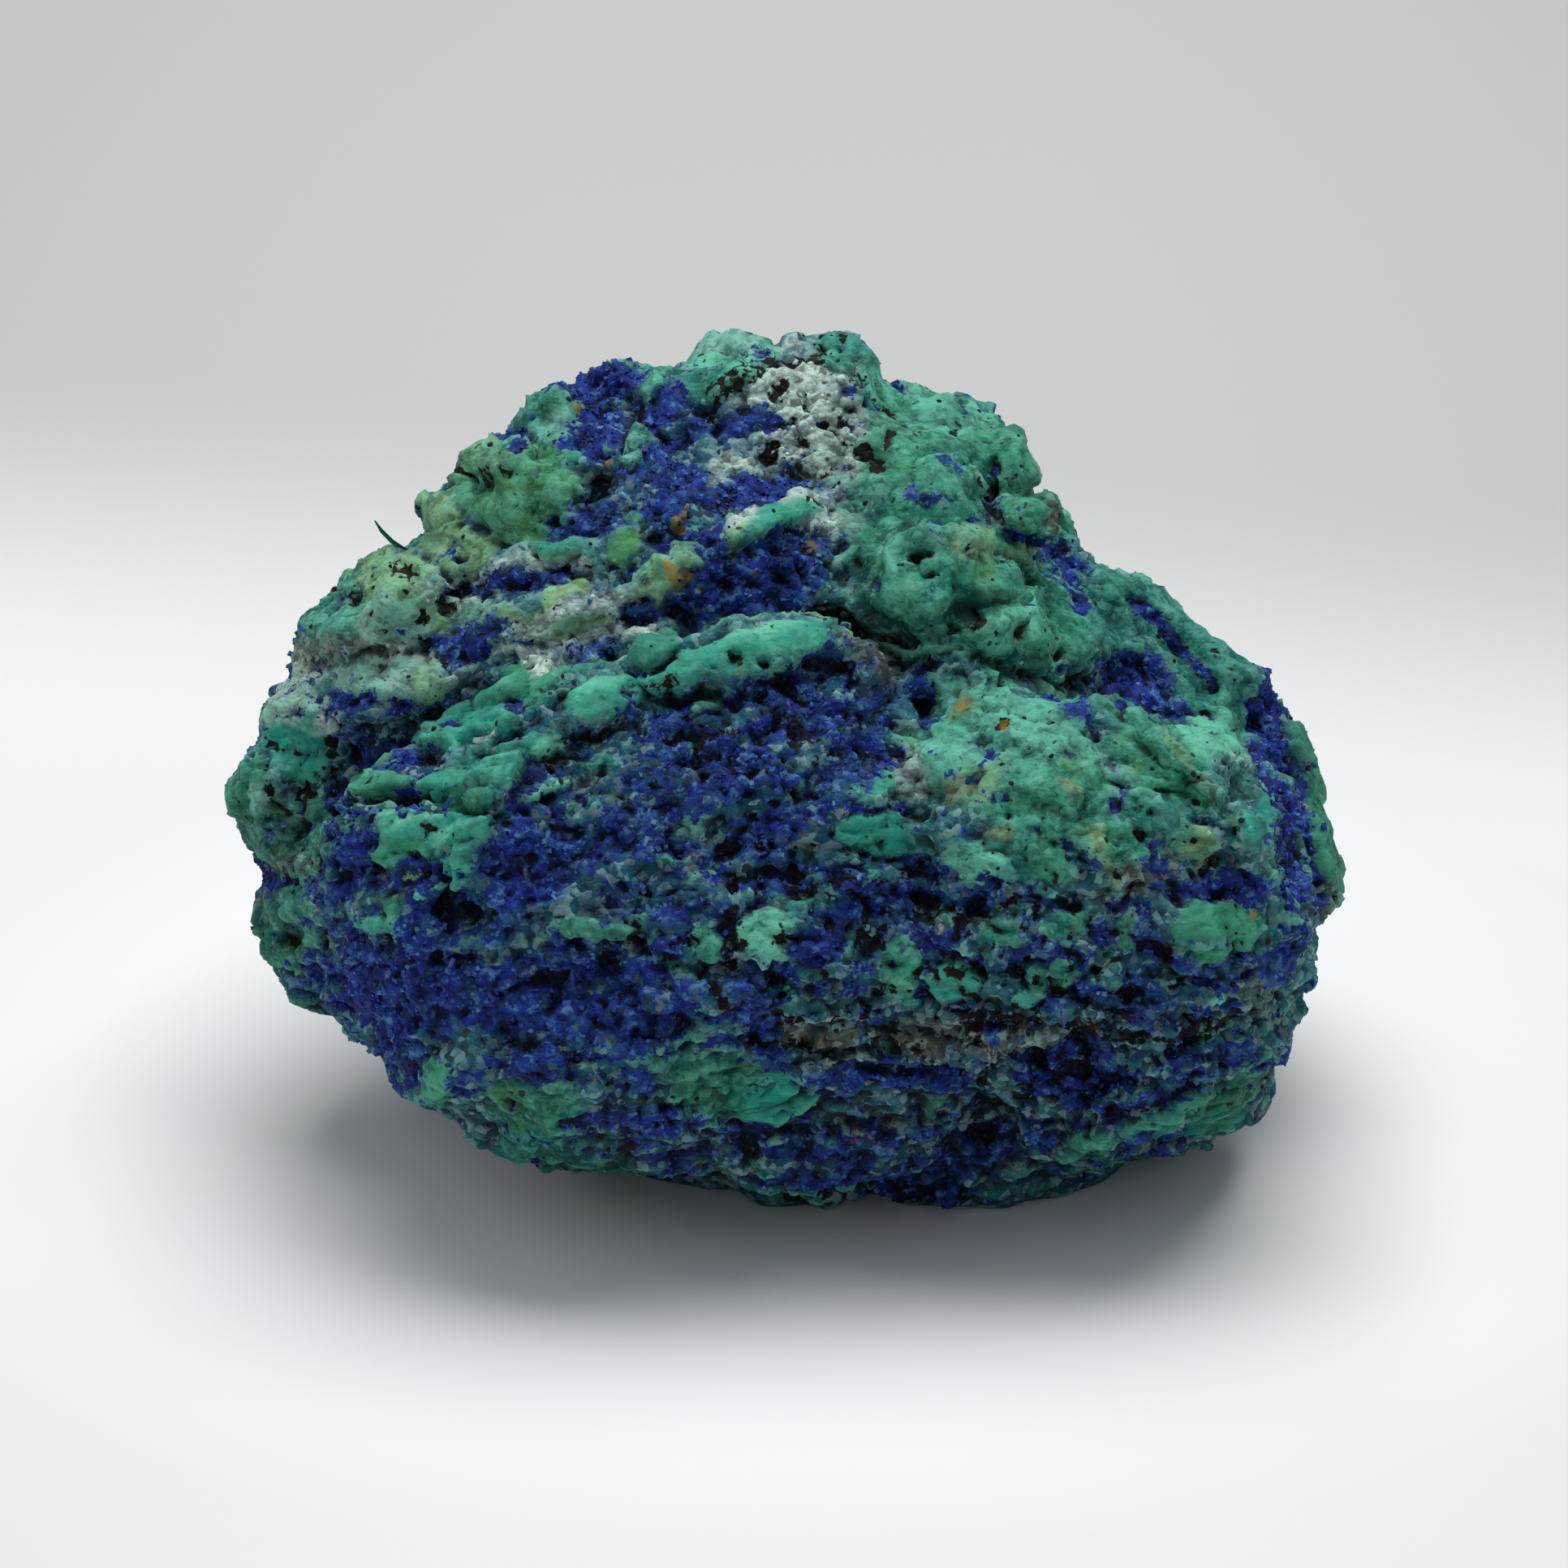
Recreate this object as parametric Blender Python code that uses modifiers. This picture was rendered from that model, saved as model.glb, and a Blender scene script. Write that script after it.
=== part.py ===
"""Azurite specimen: one loose lump of copper ore, modelled as one faceted solid.

Blender 4.5, metres, +Z up. The lump rests on the small flat at its underside, and the origin is on
that flat. Its best side, the show face, looks towards -Y and leans back by FACE_LEAN.

Places on the show face are millimetres right of and below the corner of a square grid that frames
the lump, as seen from VIEW_DISTANCE away. "out" is millimetres towards that viewer from the plane
through the lump's middle.
"""

import math
from typing import NamedTuple

import bmesh
import bpy
import numpy as np
from mathutils import Matrix, Vector, noise
from mathutils.bvhtree import BVHTree

MM = 0.001

# Driving dimensions, in millimetres and degrees.
GRID_SIDE = 96.6  # the square that frames the lump, 69 mm wide
FACE_LEAN = 24.0  # degrees that the show face leans back from upright
VIEW_DISTANCE = 600.0
MIDDLE_HEIGHT = 22.6  # of the grid's centre above the resting flat
MIDDLE_SHIFT = (-0.285, -1.098)  # of the grid's centre from the origin, along X and Y

MASS_VOXEL = 0.65
LUMP_VOXEL = 0.5
FACES_KEPT = 9300
OUTLINE_BINS = 240
RIM_REACH = 4.0
SEED = 7


class Mass(NamedTuple):
    """A blocky ellipsoid: centre on the grid, half sizes, turn in the face, and squareness."""

    name: str
    x: float
    y: float
    out: float
    half_x: float
    half_y: float
    half_out: float
    roll: float = 0.0
    squareness: float = 2.4


MASSES = (
    Mass("core", 48.0, 47.0, -4.0, 27.0, 20.0, 20.0, 0, 2.4),
    Mass("front_block", 40.5, 56.5, 8.0, 21.5, 14.5, 15.0, 14, 3.0),
    Mass("front_block_crest", 46.0, 47.5, 9.0, 11.0, 8.0, 10.0, 18, 3.2),
    Mass("right_dome", 65.0, 55.5, 8.0, 16.0, 14.5, 15.0, -14, 2.3),
    Mass("right_dome_back", 70.5, 50.0, 0.0, 10.0, 9.0, 10.0, -35, 2.4),
    Mass("peak", 50.0, 33.0, -8.0, 14.0, 12.5, 14.0, -4, 2.5),
    Mass("peak_front", 49.0, 35.0, 0.0, 9.5, 9.0, 8.0, 10, 2.8),
    Mass("right_rim", 71.5, 46.0, -10.0, 11.0, 11.5, 11.0, -38, 2.5),
    Mass("right_rim_low", 76.0, 55.0, -6.0, 6.5, 9.0, 9.0, -10, 2.5),
    Mass("left_shoulder", 30.5, 41.5, -5.0, 12.5, 11.0, 14.0, 35, 2.6),
    Mass("left_lobe", 20.5, 49.5, -3.0, 6.0, 7.5, 8.0, 20, 2.4),
    Mass("left_low_lobe", 20.5, 57.5, -3.0, 5.0, 6.5, 8.0, -10, 2.4),
    Mass("belly", 46.0, 65.0, 6.0, 20.0, 8.0, 11.0, 2, 2.6),
    Mass("foot", 53.5, 67.5, -4.0, 15.5, 8.5, 13.0, -4, 3.0),
    Mass("right_skirt", 68.0, 64.5, 1.0, 11.0, 7.0, 11.0, 20, 2.6),
    Mass("back", 48.0, 46.0, -14.0, 20.0, 15.0, 12.0, 0, 2.4),
    Mass("back_high", 40.0, 38.0, -18.0, 12.0, 10.5, 10.0, 25, 2.6),
    Mass("back_right", 61.0, 49.0, -17.0, 14.0, 12.0, 10.0, -25, 2.5),
    Mass("back_low", 43.0, 58.0, -13.0, 17.0, 9.5, 12.0, 8, 2.8),
    Mass("back_knob", 52.0, 42.0, -24.0, 9.0, 7.5, 6.0, -15, 2.4),
    Mass("back_spur", 33.0, 51.0, -17.0, 9.0, 7.0, 9.5, -30, 2.6),
    Mass("back_middle", 50.0, 51.0, -19.0, 11.0, 9.0, 8.5, 10, 2.4),
    Mass("right_saddle", 67.5, 44.5, -5.0, 8.0, 6.0, 9.0, -35, 2.4),
)

# The lump's edge as the viewer sees it, clockwise from the left tip.
OUTLINE = (
    (14.0, 49.2), (14.2, 48.0), (15.1, 46.7), (16.2, 45.0), (16.5, 43.5), (17.5, 41.5), (18.2, 40.0),
    (18.6, 38.4), (20.4, 36.8), (21.4, 35.5), (23.2, 33.9), (24.5, 33.1), (25.4, 34.0), (26.4, 32.8),
    (25.6, 31.3), (26.3, 30.3), (27.8, 30.1), (28.7, 28.2), (30.2, 26.6), (31.9, 25.6), (33.0, 24.0),
    (34.6, 23.2), (36.3, 22.3), (37.7, 21.6), (39.2, 22.0), (40.2, 22.9), (42.0, 22.3), (43.5, 20.9),
    (45.2, 20.5), (46.9, 21.1), (47.8, 21.8), (49.8, 20.8), (52.0, 20.6), (53.5, 21.3), (54.1, 22.8),
    (56.4, 24.0), (58.2, 24.4), (59.3, 23.9), (61.0, 25.2), (62.8, 26.3), (63.9, 28.5), (63.7, 29.6),
    (65.4, 31.2), (66.0, 33.0), (67.3, 34.5), (69.6, 35.1), (71.0, 35.6), (72.3, 37.3), (74.2, 38.7),
    (76.4, 40.0), (78.2, 41.7), (79.0, 43.2), (80.6, 45.2), (81.4, 48.0), (81.8, 50.4), (82.4, 52.5),
    (82.8, 54.5), (82.2, 56.2), (80.8, 57.2), (80.9, 59.2), (80.6, 61.0), (79.8, 62.6), (78.8, 64.6),
    (78.4, 67.2), (77.4, 69.0), (75.6, 70.1), (72.8, 71.1), (69.3, 71.7), (67.6, 73.2), (65.8, 74.1),
    (62.5, 74.5), (59.0, 75.1), (55.0, 75.4), (50.5, 75.2), (46.5, 74.4), (43.0, 73.2), (39.0, 72.5),
    (35.0, 72.1), (32.2, 72.1), (30.3, 71.0), (28.2, 69.0), (26.0, 67.9), (24.3, 66.9), (23.2, 65.0),
    (21.2, 63.9), (19.6, 62.6), (18.0, 61.9), (17.2, 60.6), (16.4, 59.0), (15.8, 57.0), (15.7, 55.2),
    (15.9, 53.0), (15.2, 51.4),
)


class Lump(NamedTuple):
    """A rounded growth on the show face: its place, half sizes across and up, turn and height."""

    x: float
    y: float
    half_x: float
    half_y: float
    proud: float
    roll: float = 0.0


LUMPS = (
    # green cluster, right of the middle
    Lump(54.4, 35.8, 2.6, 2.8, 2.2, 20),
    Lump(56.2, 34.2, 2.5, 2.4, 3.4),
    Lump(59.2, 34.8, 3.0, 2.8, 3.6, -10),
    Lump(62.2, 35.2, 2.8, 2.8, 3.4, -20),
    Lump(57.6, 37.4, 3.2, 2.2, 3.0, -20),
    Lump(61.2, 38.2, 2.6, 2.3, 3.0),
    Lump(63.0, 39.8, 2.4, 2.6, 2.8, -30),
    Lump(66.0, 39.4, 1.9, 2.8, 2.4, -30),
    # smooth dome below the peak, and the rim lumps to its right
    Lump(57.4, 28.8, 4.4, 4.2, 2.4),
    Lump(62.3, 28.2, 2.1, 2.2, 2.2),
    Lump(64.2, 31.8, 2.6, 2.4, 2.0, -30),
    Lump(61.0, 26.0, 2.6, 1.2, 1.0, -30),
    Lump(56.0, 24.8, 2.6, 1.0, 1.0, -25),
    Lump(52.4, 21.8, 2.2, 1.2, 1.2, -10),
    Lump(45.2, 21.8, 2.4, 1.4, 1.4, 5),
    Lump(38.0, 22.8, 2.0, 1.4, 1.2, 15),
    # knobs on the left shoulder
    Lump(35.2, 25.4, 2.0, 1.5, 1.2, 30),
    Lump(34.4, 27.2, 1.7, 1.4, 1.2, 20),
    Lump(30.2, 28.6, 2.6, 1.5, 2.2, 30),
    Lump(33.6, 28.8, 2.2, 1.7, 2.4, -15),
    Lump(32.2, 31.0, 2.3, 1.8, 2.6, 10),
    Lump(28.0, 31.4, 2.4, 1.2, 1.2, 10),
    Lump(34.6, 34.6, 1.9, 1.4, 0.9, 10),
    Lump(38.4, 33.6, 1.2, 1.0, 0.7, 45),
    Lump(24.6, 37.2, 3.0, 2.8, 2.2, 20),
    Lump(20.6, 39.0, 2.0, 2.2, 1.4, 20),
    Lump(23.6, 42.4, 4.4, 1.8, 1.4, 8),
    Lump(19.8, 44.6, 2.8, 2.2, 1.4, 40),
    Lump(15.8, 48.8, 1.6, 2.2, 1.2),
    Lump(17.8, 57.0, 2.4, 3.0, 1.0),
    # right dome and the rim behind it
    Lump(52.6, 49.4, 2.2, 2.2, 0.8),
    Lump(60.0, 46.0, 3.6, 3.2, 0.9, -10),
    Lump(66.0, 51.8, 2.8, 2.2, 1.0, -20),
    Lump(74.6, 46.4, 2.6, 2.4, 1.4, -25),
    Lump(77.6, 46.6, 1.5, 0.9, 1.0, -10),
    Lump(76.4, 51.4, 2.0, 3.0, 1.2, -35),
    Lump(74.4, 57.6, 3.0, 2.8, 0.9, 10),
    Lump(70.6, 37.6, 3.0, 1.8, 1.0, -30),
    Lump(76.0, 42.0, 3.0, 1.6, 1.0, -45),
    Lump(81.4, 49.8, 1.2, 3.6, 0.9, -12),
    Lump(82.0, 53.6, 1.2, 2.4, 0.9),
    # lower body
    Lump(25.6, 57.4, 1.9, 1.0, 0.9, 5),
    Lump(26.4, 66.8, 1.6, 1.8, 1.0, -30),
    Lump(32.6, 70.0, 3.2, 2.2, 0.9, -20),
    Lump(47.6, 67.6, 4.2, 1.7, 1.1, -6),
    Lump(43.6, 65.2, 3.4, 1.6, 0.7, -10),
    Lump(48.0, 58.4, 2.6, 1.8, 0.8),
    Lump(56.0, 60.6, 3.0, 2.2, 0.8, -20),
    Lump(74.6, 67.2, 4.2, 1.4, 1.0, 24),
    Lump(67.0, 70.2, 4.0, 1.3, 1.0, 14),
)


class Line(NamedTuple):
    """A feature that follows points on the show face. Height is up from the surface, and below it
    if negative; above and below are its reach on either side of the line, looking along it."""

    height: float
    above: float
    below: float
    points: tuple


LEDGES = (
    # the lip that crosses the face, from the notch up to the right
    Line(1.7, 0.6, 4.0, ((28.2, 55.2), (28.8, 52.8), (29.8, 50.0), (30.8, 47.4), (33.0, 45.2),
                         (36.4, 43.4))),
    Line(1.5, 0.6, 2.2, ((33.8, 44.2), (37.4, 42.6), (41.0, 41.2))),
    Line(2.3, 0.6, 3.8, ((41.2, 41.4), (44.0, 39.8), (47.6, 38.9), (51.6, 38.8), (53.0, 40.6))),
    # sheets that step down to the left of the lip
    Line(1.3, 0.5, 2.2, ((26.8, 44.4), (30.0, 43.0), (33.0, 41.8), (36.4, 40.2), (39.2, 38.8))),
    Line(1.1, 0.5, 1.8, ((21.6, 48.2), (25.6, 46.8), (29.4, 45.9), (31.6, 45.4))),
    Line(1.3, 0.5, 3.0, ((22.0, 50.4), (25.0, 49.6), (28.2, 49.9), (29.6, 50.2))),
    # the pale shelf on the left shoulder
    Line(1.2, 2.4, 0.8, ((17.4, 44.8), (20.4, 43.6), (24.0, 43.8), (27.4, 42.6))),
    # the bank above the lip
    Line(1.3, 0.8, 2.2, ((29.0, 38.8), (34.0, 37.4), (39.6, 35.8), (43.0, 34.8), (46.2, 33.4),
                         (50.0, 30.8))),
    # the crest below the peak, and the rib left of it
    Line(0.9, 0.8, 1.6, ((43.6, 25.6), (46.2, 23.4), (49.8, 22.6), (53.0, 23.8))),
    Line(0.8, 0.9, 0.9, ((40.4, 22.8), (39.8, 25.6), (38.8, 28.4))),
    # the top of the right dome
    Line(1.2, 0.7, 4.2, ((56.4, 41.2), (61.0, 40.8), (66.4, 42.6), (71.0, 45.4), (75.4, 49.0),
                         (78.2, 53.4), (79.8, 57.8))),
    Line(0.8, 0.5, 1.6, ((60.6, 44.2), (65.4, 46.2), (70.2, 49.0), (74.2, 52.2))),
    Line(0.7, 0.5, 1.4, ((62.0, 48.0), (66.2, 49.2), (70.6, 52.0))),
    # lower beds
    Line(0.7, 1.6, 0.5, ((33.0, 57.0), (38.0, 57.6), (44.0, 58.6), (52.0, 60.6))),
    Line(1.3, 2.2, 0.6, ((44.0, 61.6), (50.0, 63.4), (57.0, 64.2), (66.0, 64.0), (73.0, 62.6),
                         (78.0, 60.4))),
    Line(1.0, 1.8, 0.6, ((47.0, 65.8), (51.6, 67.0), (56.6, 67.0), (60.4, 66.4))),
    Line(1.3, 2.2, 0.7, ((25.6, 67.2), (31.0, 66.0), (36.0, 67.0), (42.0, 69.4), (46.0, 72.0),
                         (52.0, 72.2), (58.0, 70.8))),
    Line(1.4, 2.2, 0.6, ((60.0, 71.6), (66.0, 70.4), (72.0, 68.4), (77.4, 65.8))),
)

GROOVES = (
    Line(-1.4, 1.0, 1.0, ((42.8, 38.2), (46.0, 37.4), (50.0, 37.4), (52.8, 38.6), (54.0, 40.2))),
    Line(-1.6, 1.0, 1.0, ((49.6, 37.8), (51.4, 37.8), (52.8, 39.2))),
    Line(-2.0, 1.0, 1.0, ((51.8, 35.4), (52.8, 37.8), (55.0, 39.6), (58.8, 40.2), (62.4, 41.6),
                         (65.6, 42.6), (68.6, 42.8))),
    Line(-1.4, 0.7, 0.7, ((60.6, 27.6), (60.8, 30.2), (61.4, 32.4), (64.6, 34.8), (66.2, 37.6))),
    Line(-1.6, 1.0, 1.0, ((67.4, 41.0), (69.4, 41.4), (71.8, 43.6), (73.2, 45.0))),
    Line(-1.4, 0.8, 0.8, ((69.0, 37.6), (71.4, 38.4), (73.4, 40.4), (74.6, 41.6))),
    Line(-2.2, 1.2, 1.2, ((77.6, 43.8), (78.0, 47.0), (79.2, 50.4), (80.2, 53.8))),
    Line(-0.9, 0.4, 0.4, ((22.6, 49.8), (24.6, 49.2), (27.4, 49.3), (29.4, 49.8))),
    Line(-0.9, 0.5, 0.5, ((22.0, 47.7), (25.0, 47.2), (28.4, 46.1), (31.8, 45.1))),
    Line(-0.8, 0.4, 0.4, ((42.4, 60.0), (45.6, 60.2), (48.8, 62.4), (53.6, 63.4), (61.0, 63.6),
                         (70.0, 63.7), (76.4, 61.6))),
    Line(-0.9, 0.5, 0.5, ((44.6, 54.4), (49.6, 53.6), (54.8, 53.2), (58.0, 51.8))),
    Line(-0.8, 0.4, 0.4, ((65.0, 60.4), (67.2, 59.4), (68.8, 58.2))),
    Line(-1.2, 0.6, 0.6, ((19.6, 58.6), (20.6, 55.2), (21.4, 52.2), (20.8, 50.0))),
    Line(-1.0, 0.6, 0.6, ((35.6, 24.8), (36.0, 27.6), (36.4, 29.6), (34.6, 32.2), (30.6, 33.4))),
)


class Pit(NamedTuple):
    x: float
    y: float
    radius: float
    depth: float


PITS = (
    Pit(28.6, 56.4, 1.5, 3.0),
    Pit(56.5, 34.3, 0.8, 1.5),
    Pit(59.3, 38.3, 1.1, 2.0),
    Pit(18.3, 48.7, 1.1, 1.6),
    Pit(17.6, 57.8, 0.9, 1.2),
    Pit(76.0, 48.9, 1.1, 2.0),
    Pit(80.3, 53.0, 1.2, 1.6),
    Pit(65.4, 66.2, 3.0, 3.0),
    Pit(61.6, 66.8, 2.0, 2.0),
    Pit(69.2, 65.8, 2.0, 1.8),
    Pit(29.6, 29.8, 0.9, 1.6),
    Pit(29.2, 47.6, 0.8, 1.0),
    Pit(50.8, 38.0, 1.0, 1.4),
    Pit(57.6, 43.4, 0.7, 1.6),
    Pit(47.0, 54.6, 1.0, 1.4),
    Pit(57.0, 54.6, 1.3, 1.4),
    Pit(46.6, 57.4, 1.0, 1.2),
    Pit(53.4, 74.0, 2.4, 1.6),
    Pit(36.6, 29.8, 1.0, 1.6),
    Pit(30.6, 33.0, 0.8, 1.2),
    Pit(41.4, 33.2, 1.2, 1.2),
)

# Growths on the sides that the show face hides: clusters, lumps in each, and their half sizes.
HIDDEN_CLUSTERS = 13
CLUSTER_LUMPS = 7
HIDDEN_HALF_SIZE = (1.5, 4.2)

# Flat broken faces on the hidden sides: how many, and how deep they cut.
BREAKS = 9
BREAK_DEPTH = (1.2, 3.6)

# Relief all over: height, grain size and kind, coarse to fine.
SWELL = (0.9, 9.0)
CHUNKS = (0.75, 4.2)
KNOBS = (0.45, 2.2)
BED_SPACING = 2.6
BED_HEIGHT = 0.34

COLLECTION = "azurite_specimen"
NODE = "azurite_rock"

LEAN = math.radians(FACE_LEAN)
ACROSS = np.array((1.0, 0.0, 0.0))
UP_FACE = np.array((0.0, math.sin(LEAN), math.cos(LEAN)))
OUTWARD = np.array((0.0, -math.cos(LEAN), math.sin(LEAN)))
HALF_GRID = GRID_SIDE / 2


def from_face(x, y, out):
    """Points, in millimetres from the grid's centre, of places on the grid."""
    shrink = 1 - np.asarray(out) / VIEW_DISTANCE
    right = (np.asarray(x) - HALF_GRID) * shrink
    up = (HALF_GRID - np.asarray(y)) * shrink
    return (np.multiply.outer(right, ACROSS) + np.multiply.outer(up, UP_FACE)
            + np.multiply.outer(out, OUTWARD))


def to_face(points):
    """(x, y, out) on the grid of points in millimetres from the grid's centre."""
    out = points @ OUTWARD
    shrink = 1 - out / VIEW_DISTANCE
    return HALF_GRID + points @ ACROSS / shrink, HALF_GRID - points @ UP_FACE / shrink, out


def smooth_step(low, high, value):
    t = np.clip((value - low) / (high - low), 0, 1)
    return t * t * (3 - 2 * t)


def turned_axes(roll):
    """The face's across and up directions, turned anticlockwise by roll degrees."""
    c, s = math.cos(math.radians(roll)), math.sin(math.radians(roll))
    return ACROSS * c + UP_FACE * s, UP_FACE * c - ACROSS * s


def add_ellipsoid(bm, centre, axes, half_sizes, squareness=2.0, subdivisions=4):
    """Adds a blocky ellipsoid, grown from an icosphere, to the bmesh. All in millimetres."""
    made = bmesh.ops.create_icosphere(bm, subdivisions=subdivisions, radius=1.0)["verts"]
    for vert in made:
        length = sum(abs(c) ** squareness for c in vert.co) ** (1 / squareness)
        offset = sum(
            (np.array(axis) * half * c / length for axis, half, c in zip(axes, half_sizes, vert.co)),
            np.zeros(3),
        )
        vert.co = Vector(centre + offset)


def fused(bm, voxel):
    """One closed skin round everything in the bmesh, as a new mesh object's mesh."""
    mesh = bpy.data.meshes.new("unfused")
    bm.to_mesh(mesh)
    body = bpy.data.objects.new("unfused", mesh)
    bpy.context.scene.collection.objects.link(body)
    remesh = body.modifiers.new("fuse", "REMESH")
    remesh.mode = "VOXEL"
    remesh.voxel_size = voxel
    skin = bpy.data.meshes.new_from_object(
        body.evaluated_get(bpy.context.evaluated_depsgraph_get())
    )
    bpy.data.objects.remove(body)
    bpy.data.meshes.remove(mesh)
    return skin


def read_points(mesh):
    points = np.empty(len(mesh.vertices) * 3, np.float32)
    mesh.vertices.foreach_get("co", points)
    return points.reshape(-1, 3).astype(float)


def write_points(mesh, points):
    mesh.vertices.foreach_set("co", points.astype(np.float32).ravel())
    mesh.update()


def read_normals(mesh):
    normals = np.empty(len(mesh.vertices) * 3, np.float32)
    mesh.vertices.foreach_get("normal", normals)
    return normals.reshape(-1, 3).astype(float)


def relax(mesh, passes, factor=0.5):
    """Evens out the stair-steps that fusing leaves."""
    bm = bmesh.new()
    bm.from_mesh(mesh)
    for _ in range(passes):
        bmesh.ops.smooth_vert(
            bm, verts=bm.verts, factor=factor, use_axis_x=True, use_axis_y=True, use_axis_z=True
        )
    bm.to_mesh(mesh)
    bm.free()


def main_masses():
    bm = bmesh.new()
    for mass in MASSES:
        across, up = turned_axes(mass.roll)
        add_ellipsoid(
            bm,
            from_face(mass.x, mass.y, mass.out),
            (across, up, OUTWARD),
            (mass.half_x, mass.half_y, mass.half_out),
            mass.squareness,
            subdivisions=5,
        )
    return bm


def surface_place(tree, x, y):
    """(point, normal) where the line of sight through the grid place meets the surface."""
    eye = from_face(HALF_GRID, HALF_GRID, VIEW_DISTANCE)
    sight = Vector(from_face(x, y, 0.0) - eye).normalized()
    point, normal, _, _ = tree.ray_cast(Vector(eye), sight)
    if point is None:
        point, normal, _, _ = tree.find_nearest(Vector(from_face(x, y, 0.0)))
    return point, normal


def add_shown_lumps(bm, tree):
    for lump in LUMPS:
        point, normal = surface_place(tree, lump.x, lump.y)
        across, up = turned_axes(lump.roll)
        thickness = (lump.half_x + lump.half_y) / 2
        centre = np.array(point) - np.array(normal) * (thickness - lump.proud)
        add_ellipsoid(
            bm, centre, (across, up, OUTWARD), (lump.half_x, lump.half_y, thickness), 2.2, 3
        )


def hidden_direction(rng, limit):
    """A seeded direction that points away from the show face."""
    while True:
        direction = rng.normal(size=3)
        direction /= np.linalg.norm(direction)
        if direction @ OUTWARD < limit:
            return direction


def add_hidden_lumps(bm, tree):
    """Clusters of rounded growths over the sides and back."""
    rng = np.random.default_rng(SEED)
    middle = from_face(48.0, 47.0, -4.0)
    for _ in range(HIDDEN_CLUSTERS):
        toward = hidden_direction(rng, -0.15)
        for _ in range(CLUSTER_LUMPS):
            direction = toward + rng.normal(scale=0.13, size=3)
            direction /= np.linalg.norm(direction)
            sizes = rng.uniform(*HIDDEN_HALF_SIZE) * rng.uniform(0.75, 1.25, size=3)
            point, normal, _, _ = tree.ray_cast(Vector(middle + direction * 80), Vector(-direction))
            centre = np.array(point) - np.array(normal) * sizes.mean() * rng.uniform(0.3, 0.75)
            turn = Matrix.Rotation(rng.uniform(0, math.pi), 3, Vector(direction))
            axes = [np.array(turn @ Vector(axis)) for axis in np.eye(3)]
            add_ellipsoid(bm, centre, axes, sizes, 2.4, 3)


def break_off(points):
    """Cuts flat broken faces into the hidden sides."""
    rng = np.random.default_rng(SEED + 1)
    middle = from_face(48.0, 47.0, -4.0)
    for _ in range(BREAKS):
        direction = hidden_direction(rng, -0.35)
        reach = (points - middle) @ direction
        over = reach - (reach.max() - rng.uniform(*BREAK_DEPTH))
        points = points - np.maximum(over, 0)[:, None] * direction * 0.9
    return points


def outline_radius(angles):
    """Distance from the grid's centre to the outline at each angle."""
    ring = np.array(OUTLINE) - HALF_GRID
    ring_angles = np.arctan2(-ring[:, 1], ring[:, 0])
    order = np.argsort(ring_angles)
    ring_angles = ring_angles[order]
    radii = np.hypot(ring[:, 0], ring[:, 1])[order]
    return np.interp(angles, ring_angles, radii, period=2 * math.pi)


def rim_of(angles, radii, out):
    """For each of OUTLINE_BINS angles: the farthest reach, and how far out that point is."""
    index = ((angles + math.pi) / (2 * math.pi) * OUTLINE_BINS).astype(int) % OUTLINE_BINS
    reach = np.zeros(OUTLINE_BINS)
    np.maximum.at(reach, index, radii)
    on_rim = np.flatnonzero(radii >= reach[index])
    rim_out = np.zeros(OUTLINE_BINS)
    rim_out[index[on_rim]] = out[on_rim]
    return reach, rim_out


def averaged_round(values, width):
    window = np.hanning(2 * width + 1)
    wrapped = np.concatenate([values[-width:], values, values[:width]])
    return np.convolve(wrapped, window / window.sum(), "valid")


def fit_outline(points):
    """Moves points in the face's plane so that the lump's edge meets the outline. The whole lump
    takes the broad shape; finer points only move its rim, and nothing is left outside."""
    centres = (np.arange(OUTLINE_BINS) + 0.5) / OUTLINE_BINS * 2 * math.pi - math.pi
    wanted = outline_radius(centres)
    for step in range(4):
        x, y, out = to_face(points)
        dx, dy = x - HALF_GRID, HALF_GRID - y
        angles, radii = np.arctan2(dy, dx), np.hypot(dx, dy)
        reach, rim_out = rim_of(angles, radii, out)
        here = [np.interp(angles, centres, values, period=2 * math.pi)
                for values in (averaged_round(wanted / reach, 9), averaged_round(wanted / reach, 2),
                               averaged_round(rim_out, 3), averaged_round(reach, 2))]
        broad_here, exact_here, rim_here, reach_here = here
        if step == 0:
            scale = broad_here
        else:
            near = np.exp(-(((out - rim_here) / RIM_REACH) ** 2))
            near *= smooth_step(0.78, 0.98, radii / reach_here)
            scale = 1 + (exact_here - 1) * near
        scale = np.minimum(scale, np.maximum(outline_radius(angles) / radii, 0.9))
        points = from_face(HALF_GRID + dx * scale, HALF_GRID - dy * scale, out)
    return points


def distance_to_line(x, y, points):
    """(distance, side) of grid places from a line. Side is positive below it, going right."""
    nearest = np.full(x.shape, 1e9)
    side = np.zeros(x.shape)
    for (ax, ay), (bx, by) in zip(points, points[1:]):
        length2 = (bx - ax) ** 2 + (by - ay) ** 2
        t = np.clip(((x - ax) * (bx - ax) + (y - ay) * (by - ay)) / length2, 0, 1)
        gap_x, gap_y = x - ax - t * (bx - ax), y - ay - t * (by - ay)
        distance = np.hypot(gap_x, gap_y)
        cross = (bx - ax) * gap_y - (by - ay) * gap_x
        closer = distance < nearest
        nearest = np.where(closer, distance, nearest)
        side = np.where(closer, np.sign(cross), side)
    return nearest, side


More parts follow.
